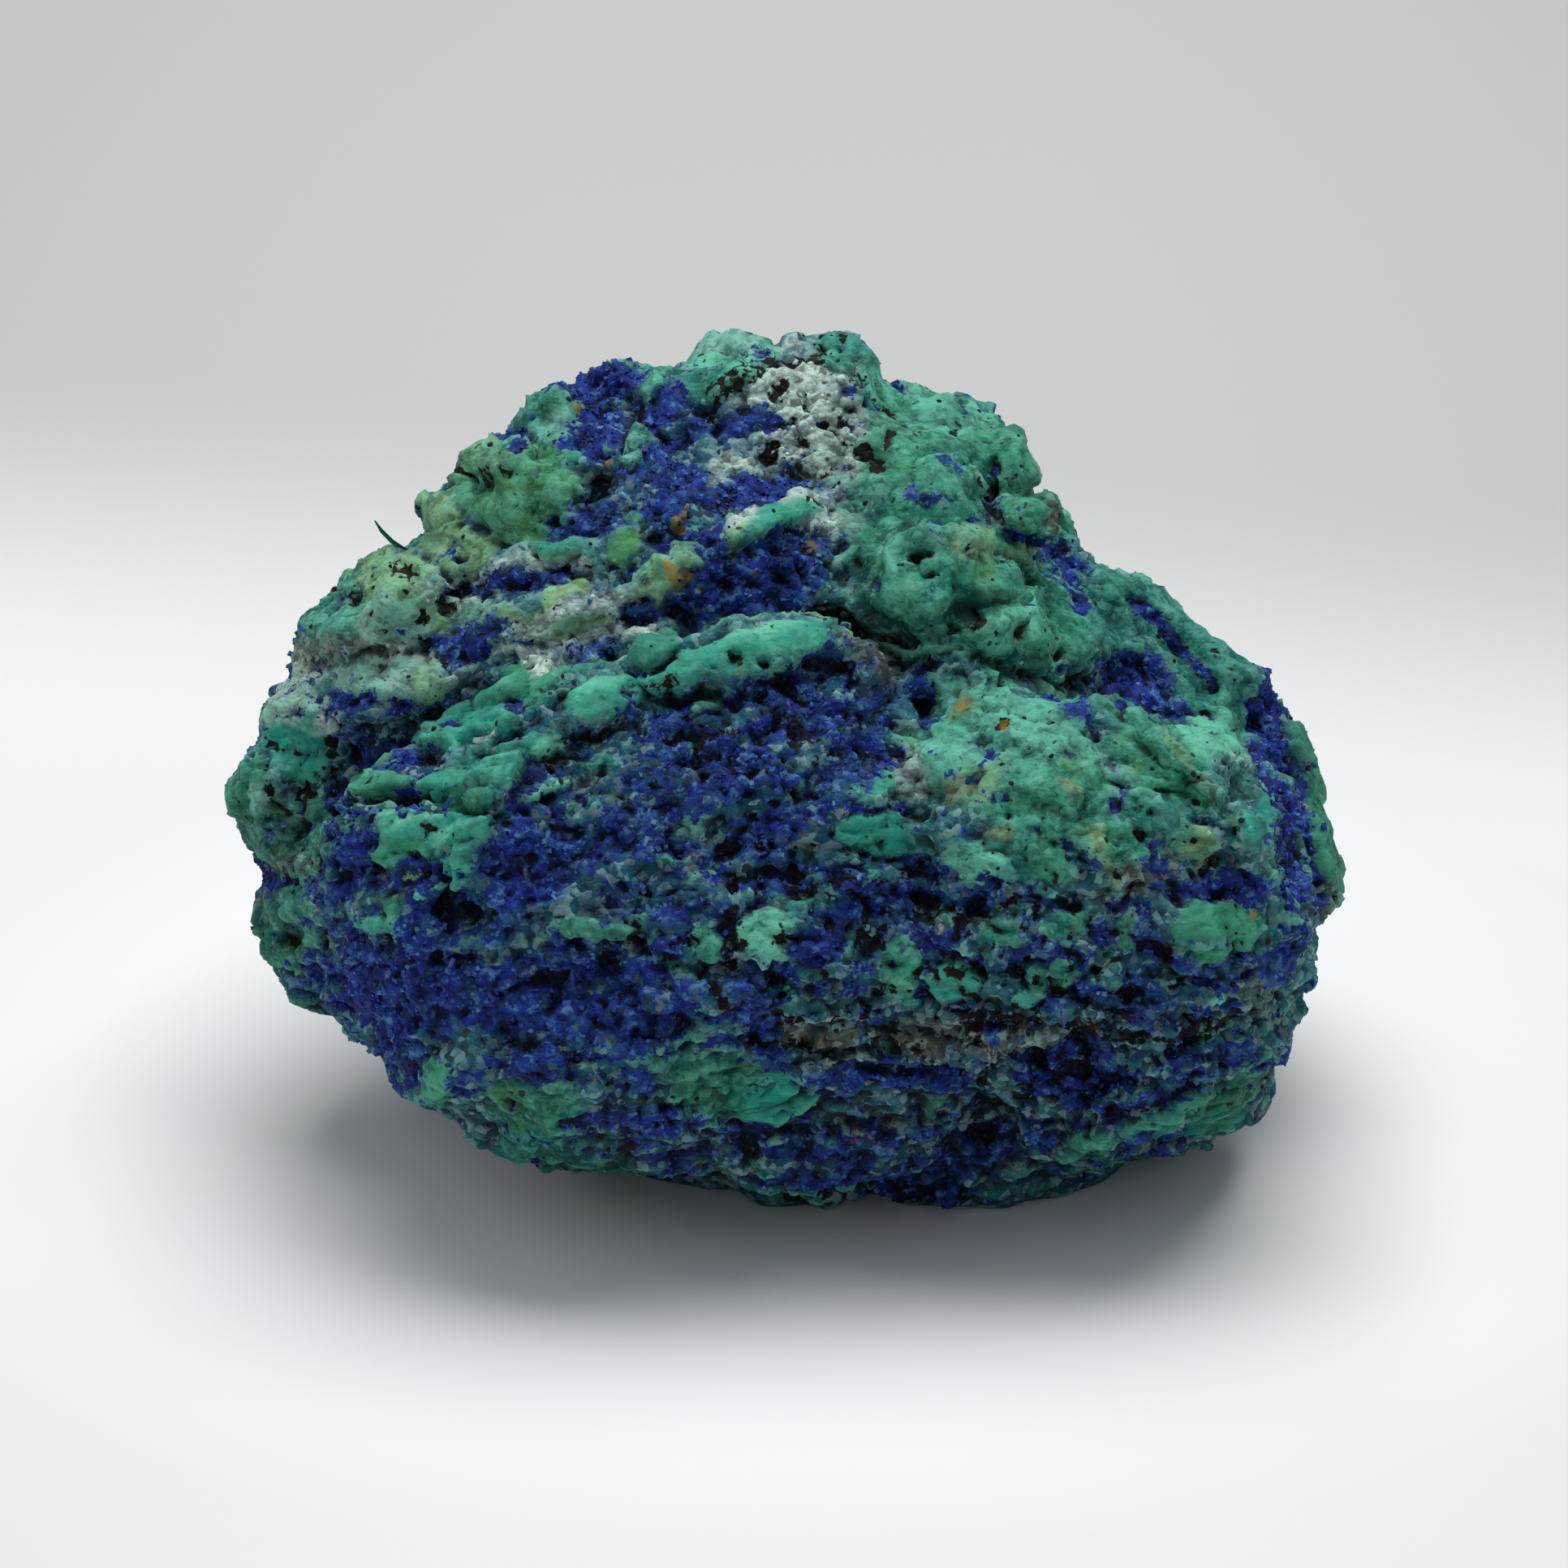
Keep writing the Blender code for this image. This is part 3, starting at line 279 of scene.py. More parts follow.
# Narrow crusts: tone, half width, points.
CRUST_RIDGES = (
    ("mint", 0.6, ((40.4, 22.8), (39.8, 25.6), (38.9, 28))),
    ("leaf", 0.8, ((40, 36.2), (42, 34.8), (43.8, 33.8), (45.2, 32.8))),
    ("chalk", 0.35, ((45, 32.8), (47.5, 31.2), (50, 30.5))),
    ("bright_teal", 0.65, ((28.8, 52.4), (29.6, 50.6), (30.5, 48.8), (31.4, 46.8), (32.2, 45.7))),
    ("leaf", 0.6, ((67.8, 51.4), (67.6, 53), (68.6, 55))), ("tan", 0.35, ((64.5, 31.2), (64.6, 33.2))),
    ("sky", 0.35, ((22.8, 50), (22.4, 52), (21.8, 54.2))),
    ("chalk", 0.9, ((33, 41), (36.4, 39.4), (39.6, 38.2))),
)

# Azurite spread thinly, but not over the crusts.
AZURITE_SPREAD = rows(
    Patch,
    (50, 59.5, 32, 10.5, 0.55), (40, 53, 15, 9, 0.58), (24, 58, 7, 7, 0.62), (66, 62, 14, 7, 0.6),
    (52, 70, 24, 4, 0.55), (58, 57.4, 5, 3, 0.45), (42, 28.5, 5, 5, 0.62), (28, 47.5, 8.5, 6.5, 0.58),
    (33, 38.4, 11, 4, 0.42), (46, 42.6, 8, 3, 0.58), (33.5, 53.5, 4.5, 4.5, 0.75), (66, 50, 8, 4, 0.3),
)

# Azurite laid thick.
AZURITE = rows(
    Patch,
    # the peak, and the knob and slope left of it
    (37.1, 23.2, 2.9, 2), (36.8, 26.8, 2.1, 2), (41.4, 26.4, 1.7, 2.4), (30, 26.2, 1, 0.8),
    (31.8, 26.9, 0.8, 0.8), (40.5, 29.8, 3.6, 3, 0.78), (36.6, 32, 3.6, 1.5, 0.75, 15),
    (46.8, 30.2, 3.4, 1.4, 0.95, 10), (43.4, 32.2, 1.9, 2.1, 0.95), (46.8, 25.2, 1.3, 0.5, 0.95, 10),
    (45.4, 26.3, 1.1, 0.7, 0.95, 10), (52.5, 24.5, 0.7, 0.45, 0.9), (53.5, 25, 0.5, 0.3, 0.8),
    (41.2, 33.2, 1.3, 1.5), (50.6, 33.4, 2.4, 0.9, 0.6, 20),
    # the bank above the lip, and slivers between the sheets
    (45.6, 35.8, 5.6, 1.7, 0.95, 24), (47.4, 36.2, 2.8, 1.7), (40.2, 37.6, 2.4, 0.9, 0.7, 10),
    (32.6, 35.8, 3.8, 0.9, 0.9, 5), (28.8, 39.8, 3.4, 1.4, 1, 10), (36.2, 40.2, 2.6, 0.8, 0.7, 15),
    (32, 43.8, 0.5, 0.8), (32.8, 47.5, 0.6, 0.8), (21.3, 53.4, 0.8, 1.5), (21, 51, 0.5, 2.6, 0.9),
    (17.4, 54.3, 2.4, 0.5, 0.9), (49, 41.8, 1.4, 0.8),
    # the left side
    (23, 43.5, 2.7, 1, 0.95), (23.2, 46.3, 2.2, 1.3, 0.95), (21.6, 51.2, 0.8, 2.4, 0.9),
    (20.8, 49, 1.2, 0.9), (20.8, 43.2, 0.6, 0.8), (24.6, 61.2, 5.8, 3.6, 0.95),
    (20.4, 60.2, 2.4, 2.2, 0.85),
    # the block below the lip
    (48.8, 45.6, 6.4, 4.6, 0.82), (42, 48.8, 7, 5, 0.72), (36.2, 52, 5.4, 4.6, 0.7),
    (32.6, 53.6, 3.4, 3.6, 0.95), (51, 54.3, 6.4, 1.4, 0.85), (37.5, 61.8, 7, 3.2, 0.88),
    (45.8, 62.8, 2.6, 1.9, 0.9), (30.4, 61.8, 5, 3, 0.9), (57.1, 42.6, 0.9, 1.9), (50.6, 57.8, 2.2, 2.2),
    # the lower right and the lower edge
    (58.8, 57.8, 1, 0.9, 0.95), (68.6, 55.8, 1.6, 0.6, 0.95, 30), (67.4, 57.6, 0.9, 1, 0.9),
    (67.2, 61.2, 1.4, 0.7, 0.95), (71, 58.2, 1.4, 1.2, 0.8), (60.6, 63.7, 0.8, 0.5, 0.95),
    (72.8, 63.6, 1.6, 0.5, 0.9), (74, 61, 2.6, 1.2, 0.65), (79, 59, 1, 2.4, 0.75), (54.4, 67, 3, 0.5),
    (29, 67.2, 1, 0.7), (32.6, 65.9, 3, 0.7, 0.9, -15), (46.6, 69.8, 1.8, 0.9, 0.9),
    (41.4, 71.6, 1.4, 0.6, 0.95, -20), (60.5, 55, 1.8, 1.2, 0.8), (75, 54.6, 3.8, 1.1, 0.8),
    (72, 59.6, 3.4, 2, 0.6), (55, 66.4, 5.2, 1, 0.9), (66.3, 66.2, 5, 2), (67.6, 68.6, 4.4, 1.4, 0.85, 8),
    (73.4, 65.4, 4.4, 1.2, 0.8, 10), (60, 69.4, 4.4, 1.6, 0.6), (39, 69.6, 4.6, 1.8, 0.65),
    (29, 67, 1.3, 0.9, 0.9), (24, 65.4, 2.2, 1.2, 0.9, -30), (54.5, 72.6, 8.4, 2, 0.85),
    (70.5, 70.6, 2.6, 0.7, 0.8, 15),
    # around the right dome and the upper-right lump
    (69.8, 42.5, 2.7, 1.8, 1, -33), (66.5, 43.8, 1, 1.3, 0.6), (78.4, 42.8, 1.5, 1.6, 0.95, -30),
    (69.1, 49.3, 0.6, 1, 1, -10), (71, 52, 0.6, 0.4, 0.8), (76.2, 54.2, 1.8, 0.8), (77.6, 45.2, 1.1, 1.2),
    (79, 49.6, 1.4, 3), (59.8, 32.4, 0.8, 0.25), (65.6, 34.4, 1.6, 1.2, 0.9, -40),
)

AZURITE_VEINS = rows(
    Vein,
    (0.5, 0.95, ((69.8, 37), (71.8, 38.6), (73.2, 40.6), (74.2, 41.8))),
    (1.3, 1, ((77.6, 43.6), (78.2, 46), (79.2, 49.4), (79.8, 52.4), (80.2, 55.4))),
    (0.4, 0.95, ((60.7, 28.4), (61.2, 31.6), (62.4, 32.9), (64.4, 34), (65.6, 35.2), (66.4, 37.4))),
    (0.3, 0.7, ((65, 42.2), (66, 43), (66.8, 44.2), (67.5, 45.2))),
    (0.35, 0.9, ((16, 54), (19, 54.6), (21.4, 54.2), (22.2, 51.6))),
    (0.45, 1, ((21, 55), (23, 54.4), (24.6, 53.4), (26, 52.9))),
    (0.25, 0.9, ((52.2, 50.3), (54.4, 50.1), (57, 50.4))),
)

OXIDE_AND_SHADE = rows(
    Patch,
    # sooty hazes
    (62, 59.5, 15, 6, 0.3), (47, 46, 5, 4, 0.38), (20, 50, 3.6, 5, 0.4), (64, 66, 8, 2.4, 0.38),
    (26, 38, 5, 3, 0.3),
    # specks, pits and dark seams, and a few painted shadows in the crevice behind the lip and under the
    # overhangs low down
    (47.8, 23.9, 0.55, 0.5), (50, 24.8, 0.4, 0.35), (48.6, 25.5, 0.7, 0.45),
    (50.5, 26, 0.3, 0.25), (51.5, 26.4, 0.7, 0.4), (52.4, 26.5, 0.35, 0.35), (52.8, 25.5, 0.5, 0.3),
    (54.9, 25.9, 0.35, 0.35), (47.3, 27.2, 0.5, 0.45), (47.3, 27.9, 0.6, 0.4), (49, 27.1, 0.5, 0.4),
    (54.8, 27.2, 0.35, 0.7), (53.2, 28, 0.7, 0.45), (54.2, 28.7, 0.6, 0.7), (50.6, 29.3, 0.35, 0.4),
    (51, 28.7, 0.3, 0.3), (50, 31, 0.5, 0.45), (55, 30.9, 0.25, 0.25), (59.9, 29.5, 0.3, 0.35),
    (59, 26.5, 0.35, 0.25), (43.4, 22, 0.35, 0.25), (46.5, 34.2, 0.4, 0.3), (48, 34.1, 0.5, 0.3),
    (50.3, 22, 0.5, 0.4), (51.8, 21.5, 0.4, 0.3), (52.8, 22.1, 0.3, 0.3), (62.6, 29.4, 0.5, 0.3, 0.7),
    (25.2, 35.3, 0.5, 0.5), (25.5, 36.3, 0.6, 0.5), (27.3, 37.3, 0.6, 0.5), (25.8, 39.5, 0.5, 0.4),
    (21.5, 36.8, 0.8, 0.6), (20.2, 45.8, 0.55, 0.6), (17.2, 46, 0.3, 0.4), (16.9, 48.8, 0.3, 0.9, 0.8),
    (18.3, 48.7, 0.8, 0.6), (21.8, 48.3, 0.5, 0.5), (26.5, 47, 0.6, 0.6, 0.9), (26.6, 44.2, 0.6, 0.35),
    (34.2, 46.7, 0.8, 1, 0.9, 30), (38.7, 42.7, 0.3, 0.3), (19, 53.6, 1.8, 0.7, 0.6),
    (18.8, 50.6, 2, 1.6, 0.5), (20.2, 47.6, 1.2, 1.6, 0.6), (43.6, 46.8, 0.9, 1.3, 0.9),
    (45.6, 44.6, 1.1, 0.8, 0.7), (45.5, 49.8, 0.5, 0.5), (48, 49.5, 0.6, 0.35), (46.8, 52.2, 1, 0.6, 0.9),
    # (50.6, 38.2) is a painted shadow in the crevice behind the lip
    (42, 45.2, 0.35, 0.35), (49.2, 45.8, 0.6, 0.3), (56.8, 43.4, 0.5, 0.4), (50.6, 38.2, 1.5, 0.5),
    (51.1, 41.2, 0.4, 0.4), (45.2, 40.9, 0.35, 0.3), (46.8, 41.1, 0.35, 0.3), (48, 41.8, 0.5, 0.4),
    (41.4, 42, 1.4, 0.4, 0.8, 20), (45.8, 58.6, 1.2, 1.4, 0.8), (53.6, 57.4, 0.7, 2, 0.85),
    (57, 55.8, 1, 1.3, 0.95), (59.3, 56.2, 0.9, 1, 0.9), (65.5, 55.4, 0.4, 0.4),
    (62.6, 62.2, 0.6, 0.4, 0.8), (41.6, 58.2, 1.5, 0.6, 0.9), (39, 57.9, 1.2, 0.3, 0.9),
    (45.2, 57.4, 0.7, 1.6, 0.9), (44.6, 61.2, 1.6, 0.45, 0.9, -28), (74.6, 53.2, 1.2, 0.5, 0.8),
    (56, 63, 1.4, 0.7, 0.6), (56.6, 34.2, 0.8, 0.3, 1, -15), (52.7, 34.6, 0.4, 0.35),
    (54.3, 36.2, 0.25, 0.25), (59.3, 34.2, 0.3, 0.3, 0.8), (61.8, 34.7, 0.4, 0.4, 0.8),
    (63.5, 36.4, 0.4, 0.2, 0.9), (59.6, 38.3, 0.7, 0.7), (58.4, 39.2, 0.4, 0.3), (61.6, 42.1, 0.35, 0.3),
    (61.9, 44.9, 0.4, 0.25), (70.7, 50, 0.3, 0.25), (70.2, 51.3, 0.35, 0.4), (73.3, 49.6, 0.3, 0.25),
    (74.2, 49.8, 0.3, 0.25), (73.8, 50.6, 0.4, 0.25), (73.2, 51.6, 0.4, 0.3), (76.2, 51.4, 0.35, 0.35),
    (79.6, 52.6, 0.9, 1.2, 0.8), (65.1, 40.6, 0.4, 0.4), (69.4, 54.2, 1.2, 0.8, 0.6),
    (66.5, 41.8, 0.6, 0.6), (65.5, 61.3, 0.5, 0.4), (49.5, 54.9, 2.6, 0.5, 0.9), (56, 53.4, 1, 0.35, 0.9),
    # (64.8, 66.2), (66.3, 66.4), (68.6, 68.6) and (53.8, 73.8) are painted shadow, under the overhang at
    # the lower right and under the lower edge
    (66, 55.8, 0.6, 0.3, 0.9), (64.8, 66.2, 3, 1.1, 0.85), (61, 68.6, 2, 1.2, 0.75),
    (62, 50.5, 0.6, 0.4, 0.7), (29.6, 29, 0.8, 0.7), (31, 29, 0.7, 0.5, 0.8), (50, 54.6, 5, 1, 0.6),
    (66.3, 66.4, 3.8, 1.6, 0.5), (68.6, 68.6, 3, 1.2, 0.4), (53.8, 73.8, 7, 1.3, 0.7),
    (33, 71.6, 0.5, 0.4),
)

OXIDE_AND_SHADE_VEINS = rows(
    Vein,
    (0.55, 0.9, ((43.4, 25.8), (44.2, 24.5), (45.6, 23.7), (46.9, 22.8))),
    (0.32, 0.95, ((46.9, 22.8), (48.4, 22.5), (50.4, 22.4), (51.8, 22.9), (53, 23.7))),
    (0.3, 0.85, ((46.5, 62.2), (50.6, 63.2), (55, 63.7), (57, 64.5))),
    (0.45, 0.95, ((60, 62.8), (65, 63.3), (70, 63.5), (72.5, 64), (75, 63), (77, 62.3))),
    (0.35, 0.8, ((49, 53.8), (52, 54.2), (55, 54.1))), (0.3, 0.8, ((71.5, 65), (74, 63.9), (77, 62.3))),
    (0.3, 0.8, ((43, 59.3), (44.6, 59.6), (46.2, 59.3))),
    (0.3, 0.8, ((37, 57.9), (39.4, 58.2), (41.5, 59))),
    # The first vein below is a painted shadow in the crevice behind the lip.
    (0.5, 0.8, ((49.6, 37.9), (51.4, 37.8), (52.8, 39))), (0.3, 0.7, ((60, 65), (64, 65), (68, 64.4))),
    (0.35, 0.85, ((46.6, 64), (51, 64.7), (55.4, 64.6))),
    (0.4, 0.9, ((59.4, 63.6), (64, 63.5), (68.2, 64.2))),
)

RUST = rows(
    Patch,
    (41.9, 32, 0.5, 0.9), (37.4, 28.7, 0.5, 0.4), (42.2, 35.5, 1.2, 0.6), (49.8, 33.7, 0.6, 0.4),
    (23, 54.2, 0.4, 0.3), (35.4, 25.6, 0.4, 0.4), (59.2, 43.5, 0.5, 0.4), (62, 45, 0.5, 0.4),
    (43, 53.2, 0.8, 0.8, 0.6), (53, 70.5, 1.4, 0.9, 0.5), (76.9, 56.3, 0.6, 0.4, 0.8),
    (67, 63.9, 1.6, 0.3, 0.6, -6), (50.4, 64.2, 1.2, 0.3, 0.6), (58, 68.5, 0.9, 0.7, 0.5),
    (68.6, 54.8, 1.6, 1, 0.5),
)

# Fine cracks: half width, depth, points.
CRACKS = (
    (0.22, 0.5, ((43, 59.4), (44.4, 59.6), (46.4, 59.2))),
    (0.2, 0.5, ((37, 57.9), (39.6, 58.3), (41.6, 59.1))),
    (0.25, 0.6, ((66.6, 60.5), (67.8, 59.9), (69.2, 59.1))),
    (0.25, 0.6, ((71.6, 65.1), (74, 63.9), (77, 62.3))),
    (0.22, 0.5, ((60, 63.3), (64.6, 63.5), (69, 63.2))),
    (0.35, 1, ((23.3, 49.4), (25.8, 49.1), (27.4, 49.6), (30, 49.9))),
    (0.3, 0.8, ((28.4, 46), (31, 45.4), (33, 44.5))),
    (0.25, 0.5, ((33.2, 46.9), (34.6, 46.2), (35.6, 46.2))),
    (0.35, 0.8, ((41.2, 43.2), (42.8, 42.7), (44.4, 42.4))),
    (0.2, 0.4, ((52.2, 50.3), (54.4, 50.1), (57, 50.4))),
    (0.25, 0.5, ((51.4, 37.2), (53.6, 39), (56, 40), (60.2, 40.2))),
    (0.3, 0.7, ((60.4, 40.7), (62.6, 41.3), (65.2, 42.2), (68, 42.8))),
    (0.3, 0.6, ((59.8, 37.3), (61.4, 37.2), (63.2, 37.4))),
    (0.4, 0.7, ((49.4, 37.9), (51.2, 38), (52.8, 39))),
    (0.3, 0.6, ((60.8, 28.6), (61, 31), (62.2, 33.2), (64.4, 34.6))),
    (0.25, 0.5, ((43.2, 66.2), (46.2, 66), (49.6, 66.8))),
    (0.2, 0.4, ((60.6, 43.6), (64, 44.6), (67.6, 47), (70.2, 49.8))),
    (0.2, 0.4, ((67.6, 43.6), (70.6, 45.2), (74, 47.6))),
    (0.2, 0.4, ((69.4, 45.4), (72.6, 47.6), (75.2, 50.2))),
    (0.25, 0.5, ((64.2, 37.6), (64.4, 39.6), (64.4, 41.8))),
    (0.25, 0.5, ((38.4, 22.6), (38.8, 25), (38.2, 27.6))),
)

# Lower edges of sheets that lap over what is below: step height, reach back up the sheet, points.
SHEET_EDGES = (
    (0.6, 1.4, ((26.8, 46.2), (29, 46.4), (30.4, 46.1), (31.8, 45))),
    (0.8, 1.6, ((22.6, 49.5), (25, 49.2), (27, 49.4), (29.8, 49.9))),
    (0.6, 1.6, ((34.9, 44.7), (36.8, 45.1), (38.5, 44.3), (40, 43), (41.7, 42.3))),
    (0.7, 1.8, ((41.2, 42.6), (43.2, 42), (45, 42.6), (46.6, 42), (48, 41.4), (50, 40.6), (52.4, 40.4))),
    (0.4, 1.4, ((22.6, 53.2), (24.2, 53.9), (26.4, 53.2), (28.2, 52), (29.8, 50.6))),
    (0.35, 1.2, ((25, 44.6), (28, 43.4), (31.6, 41.6), (36, 40.6))),
    (0.4, 1.6, ((31, 38.2), (35, 36.8), (39, 36), (43, 34.4), (47, 33.4))),
    (0.35, 1.4, ((28, 42.4), (33, 39.8), (38, 38.6), (42, 37.4))),
    (0.5, 1.6, ((45.6, 61.8), (50, 62.9), (55, 63.1), (60, 63), (66, 63.3), (70.6, 64.8), (74, 63.8),
        (77, 62.2))),
    (0.45, 1.4, ((43.6, 64.6), (50, 65.4), (56, 65.9), (63, 65.2), (70, 66.6), (75.4, 65.4))),
    (0.5, 1.4, ((66, 68.7), (70, 68.3), (74, 67), (78, 65.4))),
    (0.45, 1.4, ((41.4, 69), (45, 69.8), (49, 69.2), (50.6, 67.8))),
    (0.4, 1.4, ((43, 55.6), (50, 54.9), (56, 54.8), (62, 55.4), (68, 54.6))),
    (0.35, 1.4, ((35, 60), (41, 59.4), (46, 60), (52, 60.6))),
    (0.35, 1.4, ((22.4, 59.4), (28, 58.6), (34, 58.2), (40, 58.4))),
    (0.3, 1.4, ((72.6, 45.8), (74.6, 47.3), (76.6, 47.8), (78.6, 47.4))),
    (0.3, 1.2, ((60, 58.8), (65, 59.4), (70, 58), (76, 58.6))),
)

# Crests with straight flanks: height, reach, points.
RIDGES = (
    (0.8, 1.3, ((62.9, 37.3), (63.6, 38.7), (64.3, 41.4))),
    (0.5, 1, ((60.2, 38.9), (62.2, 38.4), (63, 37.4))),
    (0.5, 0.9, ((60.2, 36.8), (61.6, 36.7), (63, 36.9))),
    (0.4, 1.2, ((67.2, 43), (70.4, 45), (73.2, 47.4), (75.2, 49.6))),
    (0.3, 0.8, ((77.2, 47.9), (77.9, 50), (78.5, 52.2))),
    (0.5, 1, ((28.8, 52.6), (29.6, 50.6), (30.5, 48.8), (31.4, 46.8), (32.2, 45.7))),
    (0.4, 0.9, ((53.8, 34), (55, 32.8), (57.4, 32.6), (59.6, 33.2))),
    (0.4, 1, ((54.2, 44.2), (56.4, 42.6), (58.2, 41.4))),
)

DENTS = rows(
    Dent,
    # the crater's bowl, and pits and bumps of the upper-right lump
    (56.5, 34.2, 0.65, 0.4, 0.6, -20), (52.7, 34.5, 0.55, 0.5, 0.7), (54.2, 36.2, 0.4, 0.4, 0.6),
    (53.4, 35.4, 1.2, 1.4, 0.5, 35), (59.5, 37.5, 0.9, 0.9, 1.2, 30), (61.3, 34.4, 1, 0.8, 0.6),
    (59, 36.2, 0.35, 0.4, 0.5), (63.5, 36.1, 0.6, 0.35, 0.6), (62, 38.2, 1, 0.7, -0.5),
    (64.6, 39, 1, 1.5, -0.6, 15), (60.4, 33.6, 1.2, 0.7, -0.4), (63, 34.4, 0.8, 0.8, -0.4),
    (65.1, 40.5, 0.55, 0.5, 1), (66.5, 41.8, 0.6, 0.45, 0.9),
    # knobs of the left shoulder
    (30, 28.6, 1, 0.8, -0.6), (32, 29.4, 1.2, 1, -0.7), (34, 30, 1, 0.9, -0.6),
    (31.2, 31.4, 1.3, 1, -0.7), (33.6, 32, 0.9, 0.8, -0.5), (29, 30.4, 0.9, 0.7, -0.5),
    (29.8, 30, 0.5, 0.4, 0.6), (33, 28.2, 0.5, 0.35, 0.5), (34.4, 25, 1, 0.8, -0.5),
    (35.2, 27, 0.9, 0.7, -0.5), (33.4, 26.4, 0.8, 0.7, -0.5), (24.6, 36.8, 1.9, 1.8, -0.7),
    (25.4, 35.6, 0.5, 0.6, 0.6), (27.2, 37.2, 0.5, 0.4, 0.5),
    # the peak
    (44.4, 21.6, 1.4, 0.9, -0.4), (50.8, 21.4, 1.4, 0.7, -0.5), (53, 22.6, 1, 0.7, -0.4),
    (47.9, 23.7, 0.7, 0.5, 0.5), (50, 24.9, 0.45, 0.4, 0.5), (48.6, 25.6, 0.6, 0.4, 0.5),
    (51.6, 26.3, 0.6, 0.4, 0.5), (47.2, 27.5, 0.5, 0.5, 0.6), (49, 27.2, 0.5, 0.4, 0.5),
    (54, 28.3, 0.7, 0.5, 0.6), (50.8, 29, 0.5, 0.4, 0.5),
    # the left side and the sheets
    (26.8, 44.1, 0.6, 0.35, 0.6), (26.8, 47, 0.6, 0.6, 0.8), (34.3, 46.8, 1, 0.9, 1, 35),
    (34.5, 43.2, 0.6, 0.35, 1, 30), (20.6, 45.6, 0.5, 0.6, 0.4), (18.4, 48.9, 1, 0.9, -1.2),
    (28.4, 56.3, 1.3, 1, 0.8, 30), (17.7, 57.8, 0.8, 0.6, 0.9), (23.4, 57.1, 1.2, 0.7, -0.5),
    (28.6, 52.9, 0.9, 1.2, -0.5, -30), (24.6, 51.6, 1.6, 0.7, -0.35, 20),
    # the lip and the block below it
    (43.8, 46.2, 0.7, 0.9, 0.8), (46.9, 45, 0.6, 0.8, 0.7), (48.8, 47.2, 0.7, 0.5, 0.6),
    (51, 41.3, 0.7, 0.45, 0.6), (45.2, 40.9, 0.3, 0.3, 0.5), (46.8, 41.1, 0.3, 0.3, 0.5),
    (48, 41.8, 0.45, 0.4, 0.5), (40.2, 45.8, 0.9, 0.8, -0.5), (38.4, 46.2, 0.6, 0.4, -0.4),
    (40.6, 43.6, 1, 0.6, -0.4, 20), (48.2, 44.6, 0.7, 0.6, -0.4), (50, 49.8, 0.8, 0.7, -0.4),
    (46.8, 52.4, 0.8, 0.5, 0.5), (42.6, 51.6, 0.7, 0.5, 0.5), (54.6, 49.8, 1.8, 1.8, -0.4),
    # low on the face, and the right dome's flank
    (62, 61.7, 1, 0.7, -0.5), (58.2, 60, 1, 0.8, -0.5), (64.4, 61, 0.8, 0.6, -0.4),
    (47.2, 57.6, 0.9, 0.9, -0.4), (50.2, 58.2, 1.5, 1.2, -0.5), (45.6, 58.6, 0.6, 0.9, 0.7),
    (53.2, 58.4, 0.5, 1.2, 0.8), (57, 56.2, 0.8, 0.6, 0.6), (75.8, 57.4, 1.4, 1.3, -0.5),
    (66, 66.8, 3.6, 1.5, 1.4), (61.6, 68.8, 2, 1, 0.8), (33, 71.6, 0.5, 0.4, 0.7),
    (27, 67, 1.1, 0.9, -0.5), (32.4, 69.6, 1.6, 1.2, -0.5), (46, 67.4, 2.6, 1, -0.4, -5),
    (76.1, 49.4, 0.8, 1.5, 1.2, -20), (73.4, 45.8, 1.6, 0.9, -0.4, -25),
)

# The round crater of the upper-right lump: x, y, radius, half width of its rim, height of its rim.
CRATER = (56.3, 34.3, 1.3, 0.45, 0.35)

# Where the ore splits into thin sheets along its beds.
LAMINATED = rows(
    Patch,
    (58, 63, 17, 4.2, 1, -1), (70, 62, 9, 5, 0.8, 14), (44, 57, 9, 4, 0.7, -3), (54, 53, 8, 3, 0.7, 3),
    (31, 46, 9, 5, 0.9, 16), (26, 52, 5, 3, 0.6, 8), (72, 46.6, 6.5, 3.6, 0.9, -36),
    (46, 67, 8, 4, 0.8, -6), (70, 69.6, 9, 3.4, 0.9, 14), (52, 35, 4, 3, 0.4, 30),
    (40, 34, 9, 4, 0.5, 22), (66, 54, 8, 3, 0.6, -8),
)


def from_face(x, y, out):
    """The world point, in millimetres, of a place on the grid."""
    shrink = 1 - out / VIEW_DISTANCE
    return (MIDDLE + ACROSS * (x - HALF_GRID) * shrink + UP_FACE * (HALF_GRID - y) * shrink
            + OUTWARD * out)


def to_face(points):
    """(x, y) on the grid of world points in millimetres."""
    local = points - MIDDLE
    shrink = 1 - local @ OUTWARD / VIEW_DISTANCE
    return HALF_GRID + local @ ACROSS / shrink, HALF_GRID - local @ UP_FACE / shrink


def smooth_step(low, high, value):
    t = np.clip((value - low) / (high - low), 0, 1)
    return t * t * (3 - 2 * t)


def read_points(mesh, kind="co"):
    values = np.empty(len(mesh.vertices) * 3, np.float32)
    mesh.vertices.foreach_get(kind, values)
    return values.reshape(-1, 3).astype(float)


def noise_at(points, size, shift=0.0):
    """Smooth noise of about -1 to 1 at each point, with lumps about as wide as size."""
    moved = points / size + shift
    return np.fromiter((noise.noise(p) for p in moved), float, len(points)) * 1.6


def bedded_places(points):
    """Places squeezed level, so that patterns run along the beds that arch over the middle."""
    x, y, z = points.T
    arch = BED_ARCH * (x - ARCH_MIDDLE) ** 2 * smooth_step(8.0, 20.0, z)
    return np.stack([x / BED_STRETCH, y / BED_STRETCH, z + arch], axis=1)


